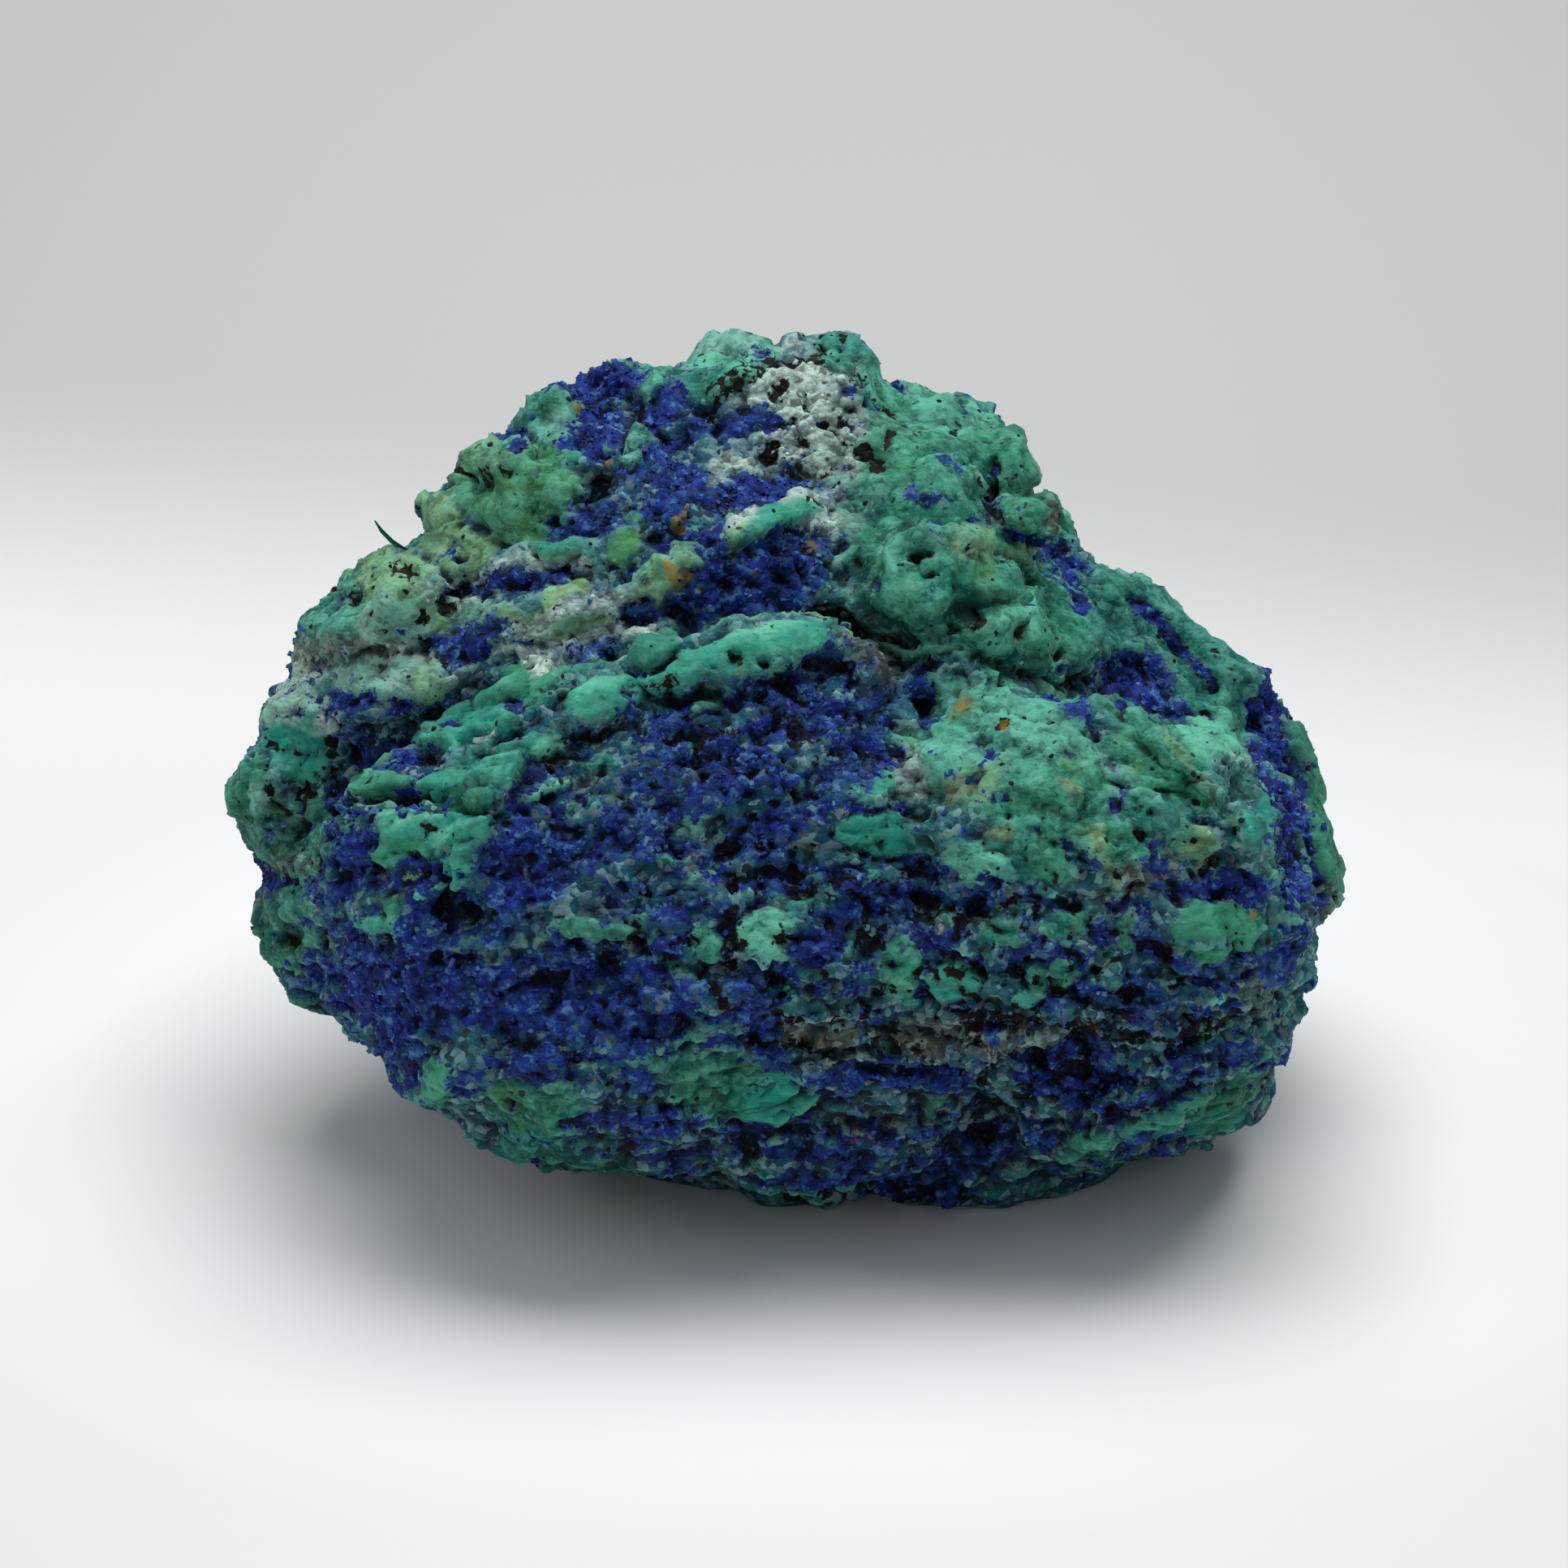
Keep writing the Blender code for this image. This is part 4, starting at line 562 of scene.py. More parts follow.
def chips_at(points, size, shift=0.0):
    """For a pattern of chips: distance to a chip's seed and border, its chance and its tilt."""
    found = np.empty((len(points), 8))
    for i, place in enumerate(points / size + shift):
        distances, places = noise.voronoi(place)
        found[i] = (distances[0], distances[1] - distances[0], *places[0], *place)
    seeds, aside = found[:, 2:5], found[:, 5:] - found[:, 2:5]
    mixing = np.array(((12.99, 39.35, 73.16), (78.23, 11.14, 52.24), (37.72, 83.16, 9.15)))
    chances = np.abs(np.modf(np.sin(seeds @ mixing) * 4375.5)[0])
    tilts = np.clip((aside * (chances - 0.5)).sum(axis=1) * 2, -0.6, 0.6)
    return found[:, 0], found[:, 1], chances[:, 0], tilts


def along_and_over(x, y, patch):
    """How far each place lies along a patch's length and across it."""
    c, s = math.cos(math.radians(patch.roll)), math.sin(math.radians(patch.roll))
    right, up = x - patch.x, patch.y - y
    return right * c + up * s, up * c - right * s


def ellipse_mask(x, y, patch, edge=0.45):
    along, over = along_and_over(x, y, patch)
    distance = np.hypot(along / patch.half_x, over / patch.half_y)
    return 1 - smooth_step(1 - edge, 1 + edge, distance)


def line_distance(x, y, points):
    nearest = np.full(x.shape, 1e9)
    for (ax, ay), (bx, by) in zip(points, points[1:]):
        length2 = (bx - ax) ** 2 + (by - ay) ** 2
        t = np.clip(((x - ax) * (bx - ax) + (y - ay) * (by - ay)) / length2, 0, 1)
        nearest = np.minimum(nearest, np.hypot(x - ax - t * (bx - ax), y - ay - t * (by - ay)))
    return nearest


def line_side(x, y, points):
    """True where a place lies above a line that runs left to right."""
    line_x, line_y = np.array(points).T
    return y < np.interp(x, line_x, line_y)


def vein_mask(x, y, half_width, points):
    return 1 - smooth_step(0.7, 1.3, line_distance(x, y, points) / half_width)


def fine_skin():
    """A fine, evenly meshed copy of the lump, with its flat facets rounded off."""
    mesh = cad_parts[NODE].data.copy()
    bm = bmesh.new()
    bm.from_mesh(mesh)
    bmesh.ops.remove_doubles(bm, verts=bm.verts, dist=1e-6)
    bmesh.ops.recalc_face_normals(bm, faces=bm.faces)
    bm.to_mesh(mesh)
    bm.free()
    mesh.materials.clear()
    body = bpy.data.objects.new("skin", mesh)
    bpy.context.scene.collection.objects.link(body)
    remesh = body.modifiers.new("even", "REMESH")
    remesh.mode = "VOXEL"
    remesh.voxel_size = SKIN_VOXEL * MM
    soften = body.modifiers.new("soften", "SMOOTH")
    soften.factor = 0.5
    soften.iterations = SKIN_SMOOTHING
    skin = bpy.data.meshes.new_from_object(
        body.evaluated_get(bpy.context.evaluated_depsgraph_get())
    )
    bpy.data.objects.remove(body)
    bpy.data.meshes.remove(mesh)
    return skin


class Minerals:
    """What covers each point of the skin: shares from 0 to 1, and the crust's colour."""

    def __init__(self, points, normals):
        self.points = points
        self.bedded = bedded_places(points)
        self.shown = smooth_step(-0.15, 0.2, normals @ OUTWARD)
        self.low_noise = noise_at(points, LOW_SIZE)
        self.mid_noise = noise_at(points, MID_SIZE, 7.3)
        self.fine_noise = noise_at(points, FINE_SIZE, 3.1)
        self.tiny_noise = noise_at(points, TINY_SIZE, 71.0)
        self.other_low = noise_at(points, LOW_SIZE, 20.7)
        self.other_mid = noise_at(points, MID_SIZE, 31.9)
        self.other_fine = noise_at(points, FINE_SIZE, 13.1)
        x, y = to_face(points)
        self.plain_x, self.plain_y = x, y
        self.x = x + 0.4 * self.low_noise + 0.3 * self.mid_noise
        self.y = y + 0.4 * self.other_low + 0.3 * self.other_mid
        self.rng = np.random.default_rng(SEED)
        self.hidden_places = points[(self.shown < 0.5) & (points[:, 2] > 1.0)]
        warp = np.stack([self.low_noise, self.other_low, self.mid_noise], axis=1)
        self.warped = points + 1.3 * warp
        self.split = self.sheets()
        self.colour_crusts()
        self.lay_azurite()
        self.strew_nuggets()
        # The oxide share also carries a few painted shadows: the crevice behind the lip, and under the
        # overhangs low down.
        oxide = self.shares(OXIDE_AND_SHADE, OXIDE_AND_SHADE_VEINS, HIDDEN_OXIDES, (0.4, 1.5), (0.6, 1.0))
        sooty = 0.3 * self.other_mid + 0.6 * self.other_fine + 0.5 * self.tiny_noise
        self.oxide = np.maximum(self.ragged(0.8 * oxide, sooty, OXIDE_RAGGED), self.holes)
        self.rust = self.shares(RUST, (), HIDDEN_RUSTS, (0.4, 1.4), (0.5, 1.0))

    def lay_azurite(self):
        """Azurite, and a haze of it that tints the crusts around."""
        share = self.shares(AZURITE, AZURITE_VEINS, HIDDEN_AZURITES, (1.6, 7.5), (0.5, 1.0))
        pure = share.copy()
        for patch in AZURITE_SPREAD:
            mask = ellipse_mask(self.x, self.y, patch) * self.shown * (1 - 0.9 * self.cover)
            share = np.maximum(share, patch.amount * mask)
        pattern = 0.4 * noise_at(self.bedded, 2.4, 41.0) + 0.5 * noise_at(self.bedded, 1.2, 17.0)
        pattern += 0.4 * noise_at(self.bedded, 0.7, 23.0) + 0.3 * self.tiny_noise
        raw = 0.07 + 0.8 * share + 0.6 * pattern
        self.azurite = smooth_step(0.2, 0.82, raw)
        self.pure = smooth_step(0.55, 0.95, pure) * smooth_step(0.35, 0.7, raw)
        haze = smooth_step(0.05, 0.5, raw) * smooth_step(0.1, 0.5, share) * 0.75
        self.colour += (np.array(HAZE_BLUE) - self.colour) * haze[:, None]
        self.crust *= 1 - 0.8 * self.azurite
        self.sheet *= 1 - self.azurite

    def strew_nuggets(self):
        """Small nuggets of the crusts, and small black holes, in the azurite."""
        warp = np.stack([self.mid_noise, self.fine_noise, self.other_fine], axis=1)
        far, _, chance, _ = chips_at(self.bedded + 0.22 * warp, NUGGET, 15.5)
        in_blue = smooth_step(0.25, 0.6, self.azurite) * (1 - 0.85 * self.pure)
        lump = (1 - smooth_step(0.3, 0.44, far)) * in_blue
        for i, name in enumerate(NUGGET_TONES):
            mask = lump * (chance >= i * 0.05) * (chance < i * 0.05 + 0.05)
            self.lay(name, mask * 0.9, mask * 0.25)
            self.azurite *= 1 - 0.95 * mask
        self.holes = lump * (chance > 0.84)

    def ragged(self, share, pattern, amount):
        """Breaks a soft share up into ragged patches."""
        return smooth_step(0.5 - RAGGED_EDGE, 0.5 + RAGGED_EDGE, share + amount * pattern)

    def hidden_mask(self, half_size):
        """A seeded patch somewhere on the sides that the show face hides."""
        place = self.hidden_places[self.rng.integers(len(self.hidden_places))]
        stretch = self.rng.uniform(0.6, 1.6, size=3)
        distance = np.linalg.norm((self.warped - place) / (half_size * stretch), axis=1)
        return (1 - smooth_step(0.6, 1.4, distance)) * (1 - self.shown)

    def shares(self, patches, veins, hidden_count, hidden_size, hidden_amount):
        """One mineral's share: its patches and veins, and seeded patches on the hidden sides."""
        share = np.zeros(len(self.points))
        for patch in patches:
            share = np.maximum(share, patch.amount * ellipse_mask(self.x, self.y, patch))
        for vein in veins:
            mask = vein_mask(self.x, self.y, vein.half_width, vein.points)
            share = np.maximum(share, vein.amount * mask)
        share *= self.shown
        for _ in range(hidden_count):
            amount = self.rng.uniform(*hidden_amount)
            mask = self.hidden_mask(self.rng.uniform(*hidden_size))
            share = np.maximum(share, amount * mask)
        return share

    def sheets(self):
        """Thin splits along the beds, from 0 to 1."""
        zone = smooth_step(-0.1, 0.6, noise_at(self.points, 11.0, 8.8)) * (1 - self.shown)
        for patch in LAMINATED:
            mask = ellipse_mask(self.x, self.y, patch) * self.shown * patch.amount
            zone = np.maximum(zone, mask)
        level = self.bedded * (0.35, 0.35, 1.0) + 0.12 * self.low_noise[:, None]
        split = np.exp(-((noise_at(level, 1.1, 3.3) / 0.17) ** 2))
        return split * zone * smooth_step(-0.7, 0.3, self.mid_noise)

    def colour_crusts(self):
        """The crusts' colour, how far each point is crust, and how proud it stands."""
        count = len(self.points)
        tones = {name: np.array(colour) for name, colour in CRUST_TONES.items()}
        first = smooth_step(-0.6, 0.4, noise_at(self.bedded, 1.9, 47.0))[:, None]
        second = smooth_step(-0.5, 0.5, noise_at(self.bedded, 1.0, 53.0))[:, None]
        pale = tones["mist"] * (1 - second) + 0.6 * tones["matrix"] * second
        deep = tones["teal"] * (1 - second) + tones["mist"] * second
        variety = pale * (1 - first) + deep * first
        self.colour = variety.copy()
        self.crust = np.full(count, 0.2)
        self.proud = np.zeros(count)
        self.sheet = np.zeros(count)
        self.cover = np.zeros(count)
        pattern = 0.35 * noise_at(self.bedded, 2.2, 57.0) + 0.5 * self.other_mid
        self.broken = pattern + 0.5 * self.other_fine
        for crust in GROUNDS + CRUSTS:
            mask = ellipse_mask(self.x, self.y, crust) * self.shown
            mask = self.ragged(mask, self.broken, CRUST_RAGGED) * self.shown
            self.lay(crust.tone, mask * crust.amount, mask * crust.proud)
            if crust not in GROUNDS:
                self.cover = np.maximum(self.cover, mask * crust.amount)
            waxy = 1.0 if crust.proud >= 0.3 or crust.tone == "bright_teal" else 0.0
            self.sheet += (waxy - self.sheet) * mask
        for name, half_width, points in CRUST_RIDGES:
            mask = vein_mask(self.x, self.y, half_width, points) * self.shown
            mask = self.ragged(mask, self.broken, CRUST_RAGGED) * self.shown
            self.lay(name, mask, mask * 0.35)
        for _ in range(HIDDEN_CRUSTS):
            name = HIDDEN_TONES[self.rng.integers(len(HIDDEN_TONES))]
            mask = self.hidden_mask(self.rng.uniform(1.6, 6.5))
            mask = self.ragged(mask, self.broken, CRUST_RAGGED) * (1 - self.shown)
            self.lay(name, mask * 0.9, mask * self.rng.uniform(0.0, 0.5))
        self.colour += (variety - self.colour) * 0.25 * (1 - self.sheet[:, None])

    def lay(self, name, mask, proud):
        """Lays a tone over what is there, where mask is 1."""
        self.colour += (np.array(CRUST_TONES[name]) - self.colour) * mask[:, None]
        smooth = 0.0 if name in GRANULAR else 1.0
        self.crust += (smooth - self.crust) * mask
        self.proud = np.maximum(self.proud, proud)


def fine_relief(minerals):
    """Height, in millimetres, that the fine surface stands above the smooth skin."""
    points = minerals.points
    warp = np.stack([minerals.low_noise, minerals.mid_noise, minerals.fine_noise], axis=1)
    far, border, chance, tilt = chips_at(minerals.bedded + 0.35 * warp, BIG_CHIP, 5.5)
    _, other_border, other_chance, other_tilt = chips_at(points + 0.15 * warp, SMALL_CHIP, 2.2)
    tiny = 0.5 - chips_at(points, TINY_CHIP, 9.4)[0]
    crease = np.exp(-((border / 0.1) ** 2)) + 0.4 * np.exp(-((other_border / 0.12) ** 2))
    granular = 1 - minerals.crust
    height = 0.3 * (chance - 0.5) + 0.45 * tilt + 0.15 * (other_chance - 0.5) + 0.2 * other_tilt
    height += granular * (0.25 * (chance - 0.5) + 0.25 * (other_chance - 0.5) + 0.3 * tiny)
    height *= 1 - 0.25 * minerals.crust
    height += minerals.crust * 0.15 * (0.6 - far)
    height -= crease * (0.06 + 0.1 * granular) * smooth_step(-0.3, 0.5, minerals.other_mid)
    height += 0.2 * minerals.low_noise + 0.16 * minerals.mid_noise
    height += (0.1 - 0.05 * minerals.crust) * minerals.fine_noise
    height *= 1 - 0.75 * minerals.sheet
    height += minerals.proud * (1 - minerals.azurite)
    height -= 0.28 * minerals.oxide + 0.45 * minerals.split
    voids = smooth_step(0.2, 0.8, noise_at(points, 1.5, 83.0))
    height += minerals.azurite * (0.2 * minerals.fine_noise - 0.1 - 0.6 * voids)
    return height + named_relief(minerals) * minerals.shown


def named_relief(minerals):
    """Cracks, lapped sheet edges, pits, lumps, crests and the crater of the show face."""
    x = 0.6 * minerals.plain_x + 0.4 * minerals.x + 0.22 * minerals.fine_noise
    y = 0.6 * minerals.plain_y + 0.4 * minerals.y + 0.22 * minerals.other_fine
    height = np.zeros(x.shape)
    for half_width, depth, line in CRACKS:
        distance = line_distance(x, y, line)
        height -= depth * np.exp(-((distance / half_width) ** 2))
    for step, reach, line in SHEET_EDGES:
        distance, above = line_distance(x, y, line), line_side(x, y, line)
        near_edge = smooth_step(0.0, 0.35, distance)
        height += 1.1 * step * np.where(above, near_edge * np.exp(-distance / reach), 0)
        height -= 0.9 * step * np.where(above, 0, near_edge * np.exp(-distance / 0.5))
    for dent in DENTS:
        along, over = along_and_over(x, y, dent)
        distance2 = (along / dent.half_x) ** 2 + (over / dent.half_y) ** 2
        height -= 0.75 * dent.depth * np.exp(-distance2)
    for crest, reach, line in RIDGES:
        height += crest * np.clip(1 - line_distance(x, y, line) / reach, 0, 1)
    crater_x, crater_y, radius, rim, rise = CRATER
    distance = np.hypot(x - crater_x, y - crater_y) - radius
    height += rise * np.exp(-((distance / rim) ** 2))
    return height


def hollowness(mesh, points, normals, passes):
    """How far each point lies below the surface averaged around it, in millimetres."""
    edges = np.empty(len(mesh.edges) * 2, np.int32)
    mesh.edges.foreach_get("vertices", edges)
    first, second = edges.reshape(-1, 2).T
    count = len(points)
    links = np.maximum(np.bincount(first, minlength=count) + np.bincount(second, minlength=count), 1)
    smooth = points.copy()
    for _ in range(passes):
        around = [
            np.bincount(first, smooth[second, axis], count)
            + np.bincount(second, smooth[first, axis], count)
            for axis in range(3)
        ]
        smooth = 0.4 * smooth + 0.6 * np.stack(around, axis=1) / links[:, None]
    return ((smooth - points) * normals).sum(axis=1)


def lay_attributes(mesh, minerals, hollow):
    """Keeps the mineral shares on the mesh for the finishes and for the grains, and the shade painted
    into its hollows and towards its base.
    """
    z = minerals.points[:, 2]
    open_air, high = smooth_step(0.7, 1.5, z), smooth_step(10.0, 22.0, z)
    granular, bare = 1 - minerals.crust, 1 - minerals.azurite
    values = {
        "azurite": minerals.azurite,
        "pure": minerals.pure,
        "oxide": minerals.oxide,
        "rust": minerals.rust,
        "crust": minerals.crust,
        "split": minerals.split,
        "sheet": minerals.sheet,
        # Painted shade: darker in hollows and towards the base; below zero on crests, where it paints
        # highlights.
        "hollow": hollow + 0.42 * smooth_step(18.0, 8.0, z),
        "azurite_grain": minerals.azurite**2 * (1 - 0.7 * minerals.oxide) * open_air,
        # Fewer pale grains low down: painted shade towards the base.
        "pale_grain": granular * bare**2 * (0.4 + 0.6 * high) * open_air,
        "crust_grain": (0.2 + 0.8 * minerals.crust) * bare * open_air,
        "oxide_grain": (minerals.oxide + 0.04 + 0.3 * minerals.split) * open_air,
    }
    for name, share in values.items():
        layer = mesh.attributes.new(name, "FLOAT", "POINT")
        layer.data.foreach_set("value", share.astype(np.float32))
    colours = np.ones((len(minerals.points), 4), np.float32)
    colours[:, :3] = minerals.colour
    layer = mesh.attributes.new("crust_colour", "FLOAT_COLOR", "POINT")
    layer.data.foreach_set("color", colours.ravel())


def rock_body():
    """The whole stone with its fine relief, and its minerals and painted shade as attributes."""
    mesh = fine_skin()
    points = read_points(mesh) / MM
    normals = read_points(mesh, "normal")
    minerals = Minerals(points, normals)
    height = fine_relief(minerals)
    above_flat = smooth_step(0.25, 1.6, points[:, 2])
    moved = points + normals * (height * above_flat)[:, None]
    moved[:, 2] = np.maximum(moved[:, 2], 0.0)
    near = hollowness(mesh, moved, normals, NEAR_PASSES)
    wide = hollowness(mesh, moved, normals, WIDE_PASSES)
    mesh.vertices.foreach_set("co", (moved * MM).astype(np.float32).ravel())
    mesh.update()
    lay_attributes(mesh, minerals, near * 1.6 + wide * 0.7)
    body = new_piece("rock_body", mesh)
    thin = body.modifiers.new("thin", "DECIMATE")
    thin.ratio = min(1.0, SKIN_TRIANGLES / sum(len(p.vertices) - 2 for p in mesh.polygons))
    thin.use_collapse_triangulate = True
    body.data = bpy.data.meshes.new_from_object(
        body.evaluated_get(bpy.context.evaluated_depsgraph_get())
    )
    body.modifiers.clear()
    bpy.data.meshes.remove(mesh)
    body.data.shade_smooth()
    return body


def new_piece(name, mesh):
    mesh.name = name
    piece = bpy.data.objects.new(name, mesh)
    bpy.context.scene.collection.objects.link(piece)
    return piece


# Finishes


class Value:
    """A socket of a finish, so that shader maths is written as expressions."""

    def __init__(self, finish, socket):
        self.finish = finish
        self.socket = socket

    def math(self, operation, *others, clamp=False):
        settings = {"operation": operation, "use_clamp": clamp}
        inputs = dict(enumerate((self, *others)))
        return self.finish.add("ShaderNodeMath", settings, inputs)

    def __add__(self, other):
        return self.math("ADD", other)

    __radd__ = __add__

    def __mul__(self, other):
        return self.math("MULTIPLY", other)

    __rmul__ = __mul__

    def __sub__(self, other):
        return self.math("SUBTRACT", other)

    def __rsub__(self, other):
        return self * -1.0 + other

    def __truediv__(self, other):
        return self.math("DIVIDE", other)

    def clamp(self):
        return self.math("ADD", 0.0, clamp=True)

    def step(self, low, high):
        """0 below low, 1 above high, and a straight slope between."""
        return ((self - low) / (high - low)).clamp()


class Finish:
    """A material's node tree."""

    def __init__(self, name, shine=0.12):
        self.material = bpy.data.materials.new(name)
        self.material.use_nodes = True
        self.tree = self.material.node_tree
        self.shader = self.tree.nodes["Principled BSDF"]
        self.set(Specular_IOR_Level=shine)

    def add(self, kind, settings=None, inputs=None, output=0):
        """One node: its type, its settings, and the values or links of its sockets."""
        node = self.tree.nodes.new(kind)
        for name, value in (settings or {}).items():
            setattr(node, name, value)
        for key, value in (inputs or {}).items():
            self.feed(node.inputs[key], value)
        return Value(self, node.outputs[output])

    def feed(self, socket, value):
        if isinstance(value, Value):
            self.tree.links.new(value.socket, socket)
        elif socket.type == "RGBA" and len(value) == 3:
            socket.default_value = (*value, 1)
        else:
            socket.default_value = value

    def set(self, **inputs):
        for name, value in inputs.items():
            self.feed(self.shader.inputs[name.replace("_", " ")], value)

    def attribute(self, name, output="Fac"):
        return self.add("ShaderNodeAttribute", {"attribute_name": name}, output=output)

    def place(self):
        return self.add("ShaderNodeTexCoord", output="Object")

    def noise(self, size, detail=2.0, roughness=0.5, shift=0.0, stretch=1.0):
        """Noise whose lumps are about size millimetres wide, and longer along the beds."""
        places = {0: self.place(), 1: (1 / stretch, 1 / stretch, 1.0), 2: (shift, 0.0, shift)}
        moved = self.add("ShaderNodeVectorMath", {"operation": "MULTIPLY_ADD"}, places)
        inputs = {"Vector": moved, "Scale": 1000.0 / size, "Detail": detail, "Roughness": roughness}
        return self.add("ShaderNodeTexNoise", None, inputs)

    def cells(self, size, output="Distance"):
        inputs = {"Vector": self.place(), "Scale": 1000.0 / size}
        return self.add("ShaderNodeTexVoronoi", None, inputs, output)

    def mix(self, share, first, second, blend="MIX"):
        """first where share is 0, second where it is 1."""
        settings = {"data_type": "RGBA", "blend_type": blend}
        return self.add("ShaderNodeMix", settings, {0: share, 6: first, 7: second}, 2)

    def channel(self, colour, name):
        return self.add("ShaderNodeSeparateColor", None, {"Color": colour}, name)

    def bump(self, height, distance, strength):
        inputs = {"Height": height, "Distance": distance * MM, "Strength": strength}
        return self.add("ShaderNodeBump", None, inputs, "Normal")


DEEP_BLUE = tone(22, 36, 96)
ROYAL_BLUE = tone(32, 56, 150)
LIGHT_BLUE = tone(66, 112, 170)
BLUE_BLACK = tone(9, 10, 34)
HAZE_BLUE = tone(30, 82, 116)
MIST = tone(34, 84, 108)
PALE_BLUE = tone(112, 150, 172)
SUGAR = tone(176, 206, 204)
BROWN_BLACK = tone(20, 20, 18)
BROWN = tone(46, 43, 37)
OCHRE = tone(142, 114, 40)
OLIVE = tone(100, 136, 72)
GRAIN_SHADE = tone(20, 48, 60)
GRAIN_PALE = tone(112, 160, 166)
DUST_AND_HIGHLIGHT = tone(110, 194, 168)
SHADE_GREEN = tone(4, 54, 46)
SHADE_GREY = tone(28, 52, 66)


def blue_colour(finish, tint):
    """Azurite from blue-black to pale in small clumps, mixed with blue-green where not pure."""
    drift = finish.noise(1.1, 4.0, 0.65, 0.013, 1.5)
    other = finish.noise(0.8, 4.0, 0.65, 0.063, 1.8)
    value = tint * 0.4 + drift.step(0.34, 0.66) * 0.6
    colour = finish.mix(value.step(0.05, 0.28), BLUE_BLACK, DEEP_BLUE)
    colour = finish.mix(value.step(0.35, 0.65), colour, ROYAL_BLUE)
    colour = finish.mix(value.step(0.7, 0.84), colour, LIGHT_BLUE)
    colour = finish.mix(value.step(0.86, 0.96) * 0.6, colour, PALE_BLUE)
    mixing = (1 - finish.attribute("pure") * 0.8) * other.step(0.44, 0.6) * 0.75
    colour = finish.mix(mixing, colour, finish.mix(tint.step(0.5, 1.0) * 0.6, MIST, PALE_BLUE))
    # Painted shade: azurite darkened to blue-black in hollows and towards the base.
    return finish.mix(finish.attribute("hollow").step(0.06, 0.5) * 0.7, colour, BLUE_BLACK)


def crust_shading(finish, tint):
    """The crust's colour, mottled darker and paler in clumps, with painted shade in hollows and towards
    the base and painted highlights on the crests.
    """
    hollow = finish.attribute("hollow")
    rough = 1 - finish.attribute("sheet") * 0.6
    shade = finish.mix(finish.attribute("crust"), SHADE_GREY, SHADE_GREEN)
    own = finish.attribute("crust_colour", "Color")
    lighter = finish.mix(0.35, own, own, "ADD")
    dust_and_highlight = finish.mix(finish.attribute("crust").step(0.0, 0.25), lighter, DUST_AND_HIGHLIGHT)
    middle = finish.noise(1.2, 3.0, 0.65, 0.021, 1.5)
    other = finish.noise(1.7, 3.0, 0.65, 0.043)
    broad = finish.noise(3.6, 3.0, 0.6, 0.031)
    fine = finish.noise(0.35, 2.0, 0.6, 0.017)
    streak = finish.noise(0.7, 3.0, 0.6, 0.057, 3.5)
    colour = finish.mix(other.step(0.57, 0.68) * rough * 0.4, own, OLIVE)
    granular = 1 - finish.attribute("crust") * 0.75
    colour = finish.mix(other.step(0.44, 0.34) * granular * 0.55, colour, MIST)
    colour = finish.mix(middle.step(0.52, 0.64) * rough * 0.35, colour, dust_and_highlight)
    colour = finish.mix(streak.step(0.54, 0.66) * 0.25, colour, dust_and_highlight)
    colour = finish.mix(streak.step(0.46, 0.36) * 0.45, colour, shade)
    # Painted highlight: paler on the crests.
    colour = finish.mix((hollow * -1.0).step(0.05, 0.4) * 0.25, colour, dust_and_highlight)
    colour = finish.mix(broad.step(0.5, 0.34) * rough * 0.4, colour, shade)
    colour = finish.mix(middle.step(0.46, 0.36) * rough * 0.5, colour, shade)
    colour = finish.mix(fine.step(0.56, 0.7) * rough * 0.3, colour, dust_and_highlight)
    colour = finish.mix(fine.step(0.44, 0.3) * rough * 0.4, colour, shade)
    colour = finish.mix(tint.step(0.8, 1.0) * rough * 0.25, colour, dust_and_highlight)
    colour = finish.mix(tint.step(0.25, 0.0) * rough * 0.4, colour, shade)
    # Painted shade: darker in hollows and towards the base.
    return finish.mix(hollow.step(0.06, 0.45) * 0.62, colour, shade)


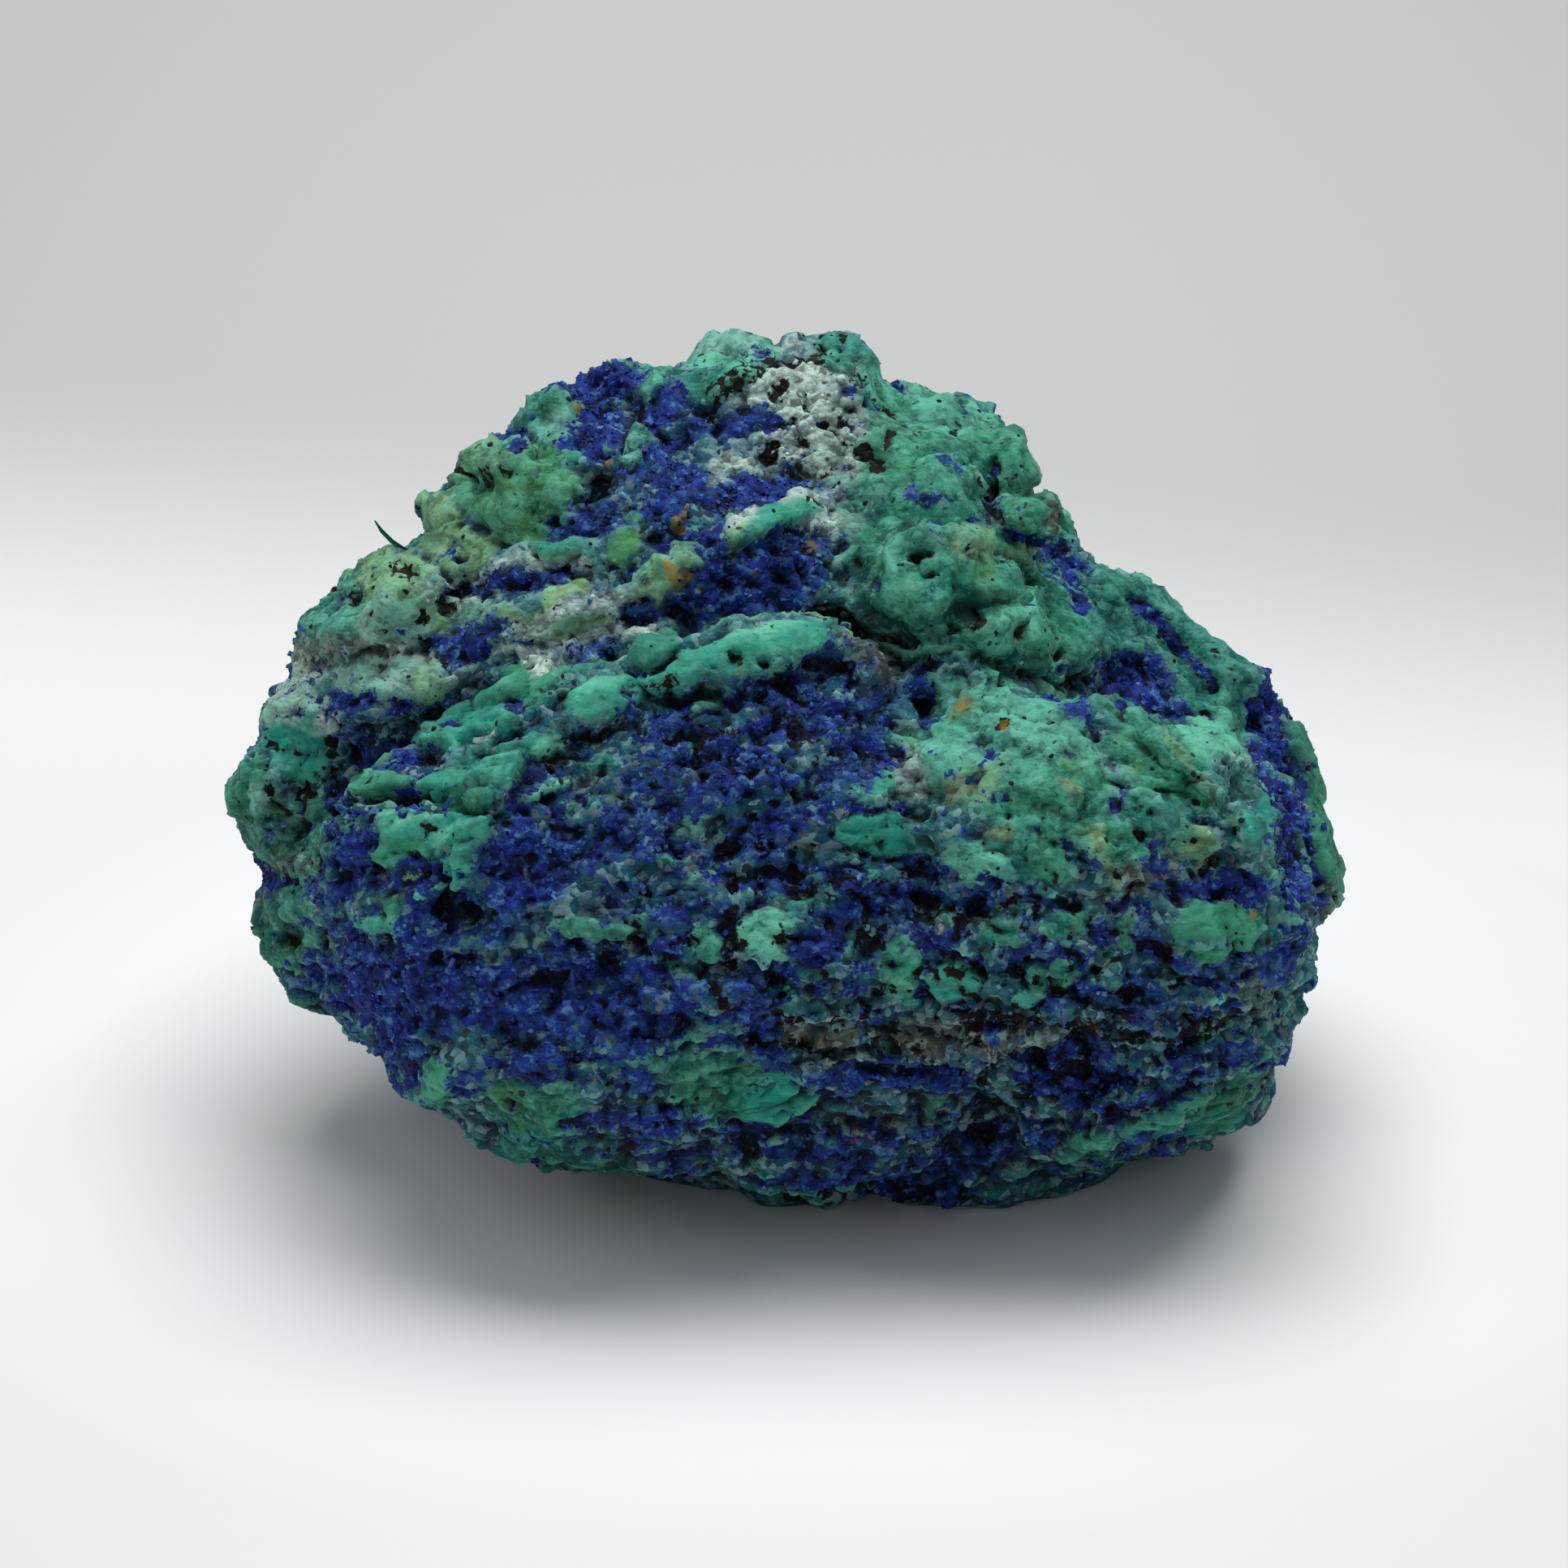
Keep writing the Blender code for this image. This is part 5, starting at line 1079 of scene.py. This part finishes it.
def ore_finish():
    """Azurite, crusts, matrix, oxide and rust, told apart by the skin's shares."""
    ore = Finish("copper_ore")
    grain = ore.cells(0.5, "Color")
    grain_tint = ore.channel(grain, "Red")
    grain_other = ore.channel(grain, "Green")
    fine = ore.noise(0.4, 2.0, 0.6)
    middle = ore.noise(1.0, 3.0, 0.6, 0.051)
    hollow = ore.attribute("hollow")
    crust = ore.attribute("crust")

    ground = crust_shading(ore, grain_tint)
    ground = ore.mix((1 - crust) * grain_tint.step(0.55, 0.9) * 0.35, ground, SUGAR)
    ground = ore.mix((1 - crust) * grain_other.step(0.25, 0.05) * 0.6, ground, BROWN)
    pinhole = ore.noise(0.8, 1.0, 0.5, 0.071).step(0.27, 0.23)
    ground = ore.mix(pinhole * 0.8, ground, BROWN_BLACK)

    blue_here = (ore.attribute("azurite") + grain_other * 0.5 + fine * 1.1 - 1.3).step(-0.06, 0.1)
    mixed = ore.mix(blue_here, ground, blue_colour(ore, grain_tint))

    sooty = ore.attribute("oxide") * 0.9 + grain_other * 0.6 + fine * 0.9 - 1.4
    oxide = ore.mix(grain_tint.step(0.6, 1.0) * 0.6, BROWN_BLACK, BROWN)
    oxide = ore.mix(ore.attribute("azurite") * 0.8, oxide, BLUE_BLACK)
    mixed = ore.mix(sooty.step(-0.08, 0.1), mixed, oxide)
    split_here = (ore.attribute("split") + fine * 0.8 - 0.95).step(0.0, 0.25)
    mixed = ore.mix(split_here * 0.7, mixed, BROWN_BLACK)
    rusty = ore.attribute("rust") * 0.9 + grain_tint * 0.4 + middle * 1.2 - 1.4
    mixed = ore.mix(rusty.step(-0.1, 0.2) * 0.75, mixed, OCHRE)
    # Painted shade: the deepest hollows, and a little of the base, darkened to brown-black.
    mixed = ore.mix(hollow.step(0.35, 0.9) * 0.8, mixed, BROWN_BLACK)
    ore.set(Base_Color=mixed)

    smooth = crust * (1 - blue_here)
    ore.set(Roughness=(0.88 - smooth * 0.3 - blue_here * 0.3 + fine * 0.1).clamp())
    bumps = ore.cells(0.5) * (1 - smooth * 0.8) * -1.0 + fine * (0.9 - smooth * 0.3)
    ore.set(Normal=ore.bump(bumps, 0.2, 0.9))
    return ore.material


def blue_grain_finish():
    """Azurite crystals, each with a tint of its own."""
    grains = Finish("azurite_grain")
    grains.set(Base_Color=blue_colour(grains, grains.attribute("tint")))
    grains.set(Roughness=(grains.noise(0.25) * 0.4 + 0.25).clamp())
    grains.set(Coat_Weight=0.15, Coat_Roughness=0.2)
    return grains.material


def pale_grain_finish():
    """Whitish and blue-green grains: each has a tint of the ground that it sits on."""
    grains = Finish("pale_grain")
    drift = grains.noise(2.0, 2.0, 0.5)
    tint = grains.attribute("tint") * 0.6 + drift.step(0.35, 0.65) * 0.4
    around = grains.attribute("crust_colour", "Color")
    colour = grains.mix(0.8, GRAIN_PALE, around)
    colour = grains.mix(tint.step(0.5, 0.1) * 0.7, colour, GRAIN_SHADE)
    colour = grains.mix(tint.step(0.5, 0.8) * 0.4, colour, around, "ADD")
    colour = grains.mix(tint.step(0.7, 0.95) * 0.2, colour, SUGAR)
    colour = grains.mix(grains.attribute("azurite") * 0.8, colour, MIST)
    # Painted shade: grains darkened in hollows and towards the base.
    colour = grains.mix(grains.attribute("hollow").step(0.0, 0.45) * 0.8, colour, GRAIN_SHADE)
    grains.set(Base_Color=colour, Roughness=(grains.noise(0.25) * 0.3 + 0.55).clamp())
    return grains.material


def dark_grain_finish():
    """Crumbs of brown-black oxide."""
    grains = Finish("oxide_crumb")
    tint = grains.attribute("tint")
    colour = grains.mix(tint.step(0.6, 1.0), BROWN_BLACK, BROWN)
    colour = grains.mix(grains.attribute("azurite") * 0.8, colour, BLUE_BLACK)
    grains.set(Base_Color=colour, Roughness=0.85)
    return grains.material


def crust_grain_finish():
    """Granules that take the colour of the crust they sit on, lighter or darker."""
    grains = Finish("crust_granules")
    # The crust colour brings its painted shade in hollows and painted highlights on crests.
    grains.set(Base_Color=crust_shading(grains, grains.attribute("tint")))
    grains.set(Roughness=(grains.noise(0.3) * 0.3 + 0.45).clamp())
    return grains.material


# Grains, scattered over the skin


def scatter_tree():
    """Scatters one grain shape over a surface, denser where the share is higher."""
    tree = bpy.data.node_groups.new("scatter_grains", "GeometryNodeTree")
    sockets = (
        ("Geometry", "INPUT", "NodeSocketGeometry"),
        ("Grain", "INPUT", "NodeSocketObject"),
        ("Share", "INPUT", "NodeSocketString"),
        ("Density", "INPUT", "NodeSocketFloat"),
        ("Smallest", "INPUT", "NodeSocketVector"),
        ("Largest", "INPUT", "NodeSocketVector"),
        ("Sink", "INPUT", "NodeSocketFloat"),
        ("Seed", "INPUT", "NodeSocketInt"),
        ("Material", "INPUT", "NodeSocketMaterial"),
        ("Geometry", "OUTPUT", "NodeSocketGeometry"),
    )
    for name, way, kind in sockets:
        tree.interface.new_socket(name, in_out=way, socket_type=kind)
    given = tree.nodes.new("NodeGroupInput").outputs

    def add(kind, settings=None, inputs=None):
        node = tree.nodes.new(kind)
        for name, value in (settings or {}).items():
            setattr(node, name, value)
        for key, value in (inputs or {}).items():
            if isinstance(value, bpy.types.NodeSocket):
                tree.links.new(value, node.inputs[key])
            else:
                node.inputs[key].default_value = value
        return node.outputs

    share = add("GeometryNodeInputNamedAttribute", {"data_type": "FLOAT"}, {"Name": given["Share"]})
    density = add(
        "ShaderNodeMath", {"operation": "MULTIPLY"}, {0: share[0], 1: given["Density"]}
    )
    spread = add(
        "GeometryNodeDistributePointsOnFaces",
        {"distribute_method": "RANDOM"},
        {"Mesh": given["Geometry"], "Density": density[0], "Seed": given["Seed"]},
    )
    sink = add("ShaderNodeVectorMath", {"operation": "SCALE"},
               {0: spread["Normal"], "Scale": given["Sink"]})
    sunk = add("GeometryNodeSetPosition", None, {"Geometry": spread["Points"], "Offset": sink[0]})
    no_turn, full_turn = (0.0, 0.0, 0.0), (6.283, 6.283, 6.283)
    turn = add(
        "FunctionNodeRandomValue",
        {"data_type": "FLOAT_VECTOR"},
        {0: no_turn, 1: full_turn, "Seed": given["Seed"]},
    )
    chance = add("FunctionNodeRandomValue", {"data_type": "FLOAT"}, {"Seed": given["Seed"], "ID": 7})
    rare = add("ShaderNodeMath", {"operation": "POWER"}, {0: chance[1], 1: 2.5})
    scale = add(
        "ShaderNodeMix",
        {"data_type": "VECTOR"},
        {0: rare[0], 4: given["Smallest"], 5: given["Largest"]},
    )
    shape = add("GeometryNodeObjectInfo", None, {"Object": given["Grain"]})
    placed = add(
        "GeometryNodeInstanceOnPoints",
        None,
        {"Points": sunk[0], "Instance": shape["Geometry"], "Rotation": turn[0], "Scale": scale[1]},
    )
    tint = add("FunctionNodeRandomValue", {"data_type": "FLOAT"}, {"Seed": given["Seed"]})
    tinted = add(
        "GeometryNodeStoreNamedAttribute",
        {"data_type": "FLOAT", "domain": "INSTANCE"},
        {"Geometry": placed[0], "Name": "tint", "Value": tint[1]},
    )
    real = add("GeometryNodeRealizeInstances", None, {"Geometry": tinted[0]})
    dressed = add(
        "GeometryNodeSetMaterial", None, {"Geometry": real[0], "Material": given["Material"]}
    )
    end = tree.nodes.new("NodeGroupOutput")
    tree.links.new(dressed[0], end.inputs[0])
    return tree


def grain_shape(name, build_shape):
    """An object for the scatter to copy, one unit wide."""
    bm = bmesh.new()
    build_shape(bm)
    bmesh.ops.recalc_face_normals(bm, faces=bm.faces)
    mesh = bpy.data.meshes.new(name)
    bm.to_mesh(mesh)
    bm.free()
    shape = bpy.data.objects.new(name, mesh)
    bpy.context.scene.collection.objects.link(shape)
    return shape


def blade(bm):
    """A square blade, one unit long, that narrows to one end."""
    bmesh.ops.create_cone(
        bm, cap_ends=True, cap_tris=False, segments=4, radius1=0.5, radius2=0.28, depth=1.0
    )


def shard(bm):
    """A rough, many-sided crumb."""
    made = bmesh.ops.create_icosphere(bm, subdivisions=1, radius=0.5)["verts"]
    rng = np.random.default_rng(3)
    for vert in made:
        vert.co *= rng.uniform(0.75, 1.15)


def octahedron(bm):
    """A rough octahedron."""
    made = bmesh.ops.create_uvsphere(bm, u_segments=4, v_segments=2, radius=0.5)["verts"]
    rng = np.random.default_rng(5)
    for vert in made:
        vert.co *= rng.uniform(0.8, 1.2)


def surface_integral(mesh, name):
    """The share's sum over the surface, in square metres."""
    shares = np.empty(len(mesh.vertices), np.float32)
    mesh.attributes[name].data.foreach_get("value", shares)
    mesh.calc_loop_triangles()
    corners = np.empty(len(mesh.loop_triangles) * 3, np.int32)
    mesh.loop_triangles.foreach_get("vertices", corners)
    corners = corners.reshape(-1, 3)
    points = read_points(mesh)[corners]
    areas = np.linalg.norm(
        np.cross(points[:, 1] - points[:, 0], points[:, 2] - points[:, 0]), axis=1
    )
    return float((areas / 2 * shares[corners].mean(axis=1)).sum())


def scatter(name, tree, body, shape, share, count, smallest, largest, sink, seed, material):
    """A piece of about count grains over the body. Sizes are in millimetres."""
    carrier = new_piece(name, body.data.copy())
    grow = carrier.modifiers.new("grains", "NODES")
    grow.node_group = tree
    values = {
        "Grain": shape,
        "Share": share,
        "Density": count / surface_integral(body.data, share),
        "Smallest": tuple(s * MM for s in smallest),
        "Largest": tuple(s * MM for s in largest),
        "Sink": sink * MM,
        "Seed": seed,
        "Material": material,
    }
    for item in tree.interface.items_tree:
        if item.in_out == "INPUT" and item.name in values:
            grow[item.identifier] = values[item.name]
    grains = bpy.data.meshes.new_from_object(
        carrier.evaluated_get(bpy.context.evaluated_depsgraph_get())
    )
    old = carrier.data
    bpy.data.objects.remove(carrier)
    bpy.data.meshes.remove(old)
    points = read_points(grains)
    points[:, 2] = np.maximum(points[:, 2], 0.0)
    grains.vertices.foreach_set("co", points.astype(np.float32).ravel())
    return new_piece(name, grains)


def splinter(body, finish):
    """A thin curved splinter of malachite that stands off the left shoulder."""
    foot_x, foot_y, near_tip, tip_x, tip_y = 25.0, 34.0, (23.5, 32.7), 23.1, 32.1
    sunk, aside, bow, sides = 0.3, 0.2, 0.25, 6
    widths = (0.22, 0.15, 0.13, 0.05)
    points = read_points(body.data) / MM
    x, y = to_face(points)
    root = np.argmin(np.hypot(x - foot_x, y - foot_y) - 0.02 * points @ OUTWARD)
    out = (points[root] - MIDDLE) @ OUTWARD - sunk
    root_x, root_y = x[root] + aside, y[root] + aside
    bend_x, bend_y = 0.5 * (root_x + tip_x), 0.5 * (root_y + tip_y) + bow
    path = ((root_x, root_y), (bend_x, bend_y), near_tip, (tip_x, tip_y))
    centres = np.array([from_face(x, y, out) for x, y in path]) * MM
    bm = bmesh.new()
    rings = []
    for centre, width in zip(centres, widths):
        angles = [i / sides * 2 * math.pi for i in range(sides)]
        places = [centre + (ACROSS * math.cos(a) + UP_FACE * math.sin(a)) * width * MM
                  + OUTWARD * 0.5 * width * math.sin(2 * a) * MM for a in angles]
        rings.append([bm.verts.new(place) for place in places])
    for low, high in zip(rings, rings[1:]):
        for i in range(sides):
            j = (i + 1) % sides
            bm.faces.new((low[i], low[j], high[j], high[i]))
    bm.faces.new(rings[0][::-1])
    bm.faces.new(rings[-1])
    bmesh.ops.recalc_face_normals(bm, faces=bm.faces)
    mesh = bpy.data.meshes.new("splinter")
    bm.to_mesh(mesh)
    bm.free()
    mesh.materials.append(finish)
    return new_piece("malachite_splinter", mesh)


def grow_grains(body):
    """The grains and the splinter. Counts and sizes fit half-millimetre crystals."""
    tree = scatter_tree()
    crystal = grain_shape("blade_shape", blade)
    seed_crystal = grain_shape("seed_shape", octahedron)
    crumb = grain_shape("crumb_shape", shard)
    azurite = blue_grain_finish()
    pale = pale_grain_finish()
    oxide = dark_grain_finish()
    crust = crust_grain_finish()
    pieces = [
        scatter("azurite_crystals", tree, body, crystal, "azurite_grain", 15500,
                (0.12, 0.12, 0.16), (0.42, 0.42, 0.65), -0.05, 1, azurite),
        scatter("azurite_druse", tree, body, seed_crystal, "azurite_grain", 23500,
                (0.12, 0.12, 0.12), (0.5, 0.5, 0.5), -0.05, 2, azurite),
        scatter("pale_grains", tree, body, crumb, "pale_grain", 9400,
                (0.14, 0.14, 0.12), (0.55, 0.55, 0.45), -0.1, 3, pale),
        scatter("crust_granules", tree, body, crumb, "crust_grain", 7000,
                (0.14, 0.14, 0.1), (0.65, 0.65, 0.35), -0.12, 4, crust),
        scatter("oxide_crumbs", tree, body, crumb, "oxide_grain", 6500,
                (0.14, 0.14, 0.12), (0.55, 0.55, 0.45), -0.08, 5, oxide),
    ]
    for shape in (crystal, seed_crystal, crumb):
        bpy.data.objects.remove(shape)
    splinter_finish = Finish("malachite_splinter")
    splinter_finish.set(Base_Color=CRUST_TONES["green"], Roughness=0.5)
    pieces.append(splinter(body, splinter_finish.material))
    return pieces


# Stage, light and camera


def paper_finish():
    """White paper with painted light and shade: grey behind the lump, sooner on the right, darker at the
    sides, and brighter around the lump, which lightens its cast shadow.
    """
    paper = Finish("pale_paper")
    place = paper.add("ShaderNodeSeparateXYZ", None, {"Vector": paper.place()})
    x, y = place, Value(paper, place.socket.node.outputs["Y"])
    # Painted shade: the paper greys behind the lump, sooner on the right.
    behind = (y + x * 0.26).step(0.05, 0.115)
    smooth = behind * behind * (3 - behind * 2.0)
    colour = paper.mix(smooth, tone(236, 236, 237), tone(196, 197, 195))
    # Painted shade: darker towards the sides.
    aside = (x * x).step(0.0004, 0.0036) * ((y * -1.0).step(0.0, 0.07) + behind)
    colour = paper.mix(aside * 0.12, colour, tone(150, 150, 150))
    # Painted light: brighter around the lump, which lightens its cast shadow.
    near = (x * x + y * y).step(0.0036, 0.0012)
    paper.set(Base_Color=paper.mix(near * 0.8, colour, tone(253, 253, 255)))
    paper.set(Roughness=0.9)
    return paper.material


def build_stage():
    """A pale floor that curves up into a pale backdrop."""
    bm = bmesh.new()
    half_width, front, bend, back, top, steps = 1.5, -1.2, 0.7, 1.1, 1.4, 12
    profile = [(front, 0.0), (bend, 0.0)]
    for i in range(1, steps + 1):
        a = i / steps * math.pi / 2
        profile.append((bend + (back - bend) * math.sin(a), (back - bend) * (1 - math.cos(a))))
    profile.append((back, top))
    rungs = [[bm.verts.new((x, y, z)) for x in (-half_width, half_width)] for y, z in profile]
    for low, high in zip(rungs, rungs[1:]):
        bm.faces.new((low[0], low[1], high[1], high[0]))
    mesh = bpy.data.meshes.new("floor")
    bm.to_mesh(mesh)
    bm.free()
    mesh.shade_smooth()
    mesh.materials.append(paper_finish())
    new_piece("floor", mesh)


def add_light(name, place, size, power):
    light = bpy.data.lights.new(name, "AREA")
    light.shape = "RECTANGLE"
    light.size, light.size_y = size
    light.energy = power
    lamp = bpy.data.objects.new(name, light)
    lamp.location = place
    aim = Vector((0.0, 0.0, 0.02)) - lamp.location
    lamp.rotation_euler = aim.to_track_quat("-Z", "Y").to_euler()
    bpy.context.scene.collection.objects.link(lamp)


def build_light():
    add_light("overhead", (0.05, 0.12, 0.6), (0.6, 0.5), 3.65)
    add_light("window", (-0.6, -0.15, 0.5), (0.5, 0.5), 0.6)
    world = bpy.data.worlds.new("studio")
    world.use_nodes = True
    sky = world.node_tree.nodes["Background"].inputs
    sky["Color"].default_value = (0.88, 0.94, 1.0, 1)
    sky["Strength"].default_value = 0.32
    bpy.context.scene.world = world
    bpy.context.scene.view_settings.view_transform = "Standard"


def build_camera():
    sensor = 36.0
    camera = bpy.data.cameras.new("camera")
    camera.sensor_width = sensor
    camera.lens = sensor * VIEW_DISTANCE / GRID_SIDE
    camera.clip_start = 0.01
    stand = bpy.data.objects.new("camera", camera)
    middle = Vector(MIDDLE * MM)
    turn = Matrix((ACROSS, UP_FACE, OUTWARD)).transposed().to_4x4()
    stand.matrix_world = Matrix.Translation(middle + Vector(OUTWARD) * VIEW_DISTANCE * MM) @ turn
    bpy.context.scene.collection.objects.link(stand)
    bpy.context.scene.camera = stand


build_stage()
build_light()
build_camera()

body = rock_body()
body.data.materials.append(ore_finish())
pieces = grow_grains(body)

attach(body, "root")
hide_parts(NODE)
slots = ("azurite_grains", "azurite_grains", "malachite_grains", "malachite_grains", "oxide_grains",
         "malachite_grains")
for piece, slot in zip(pieces, slots):
    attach(piece, "root")
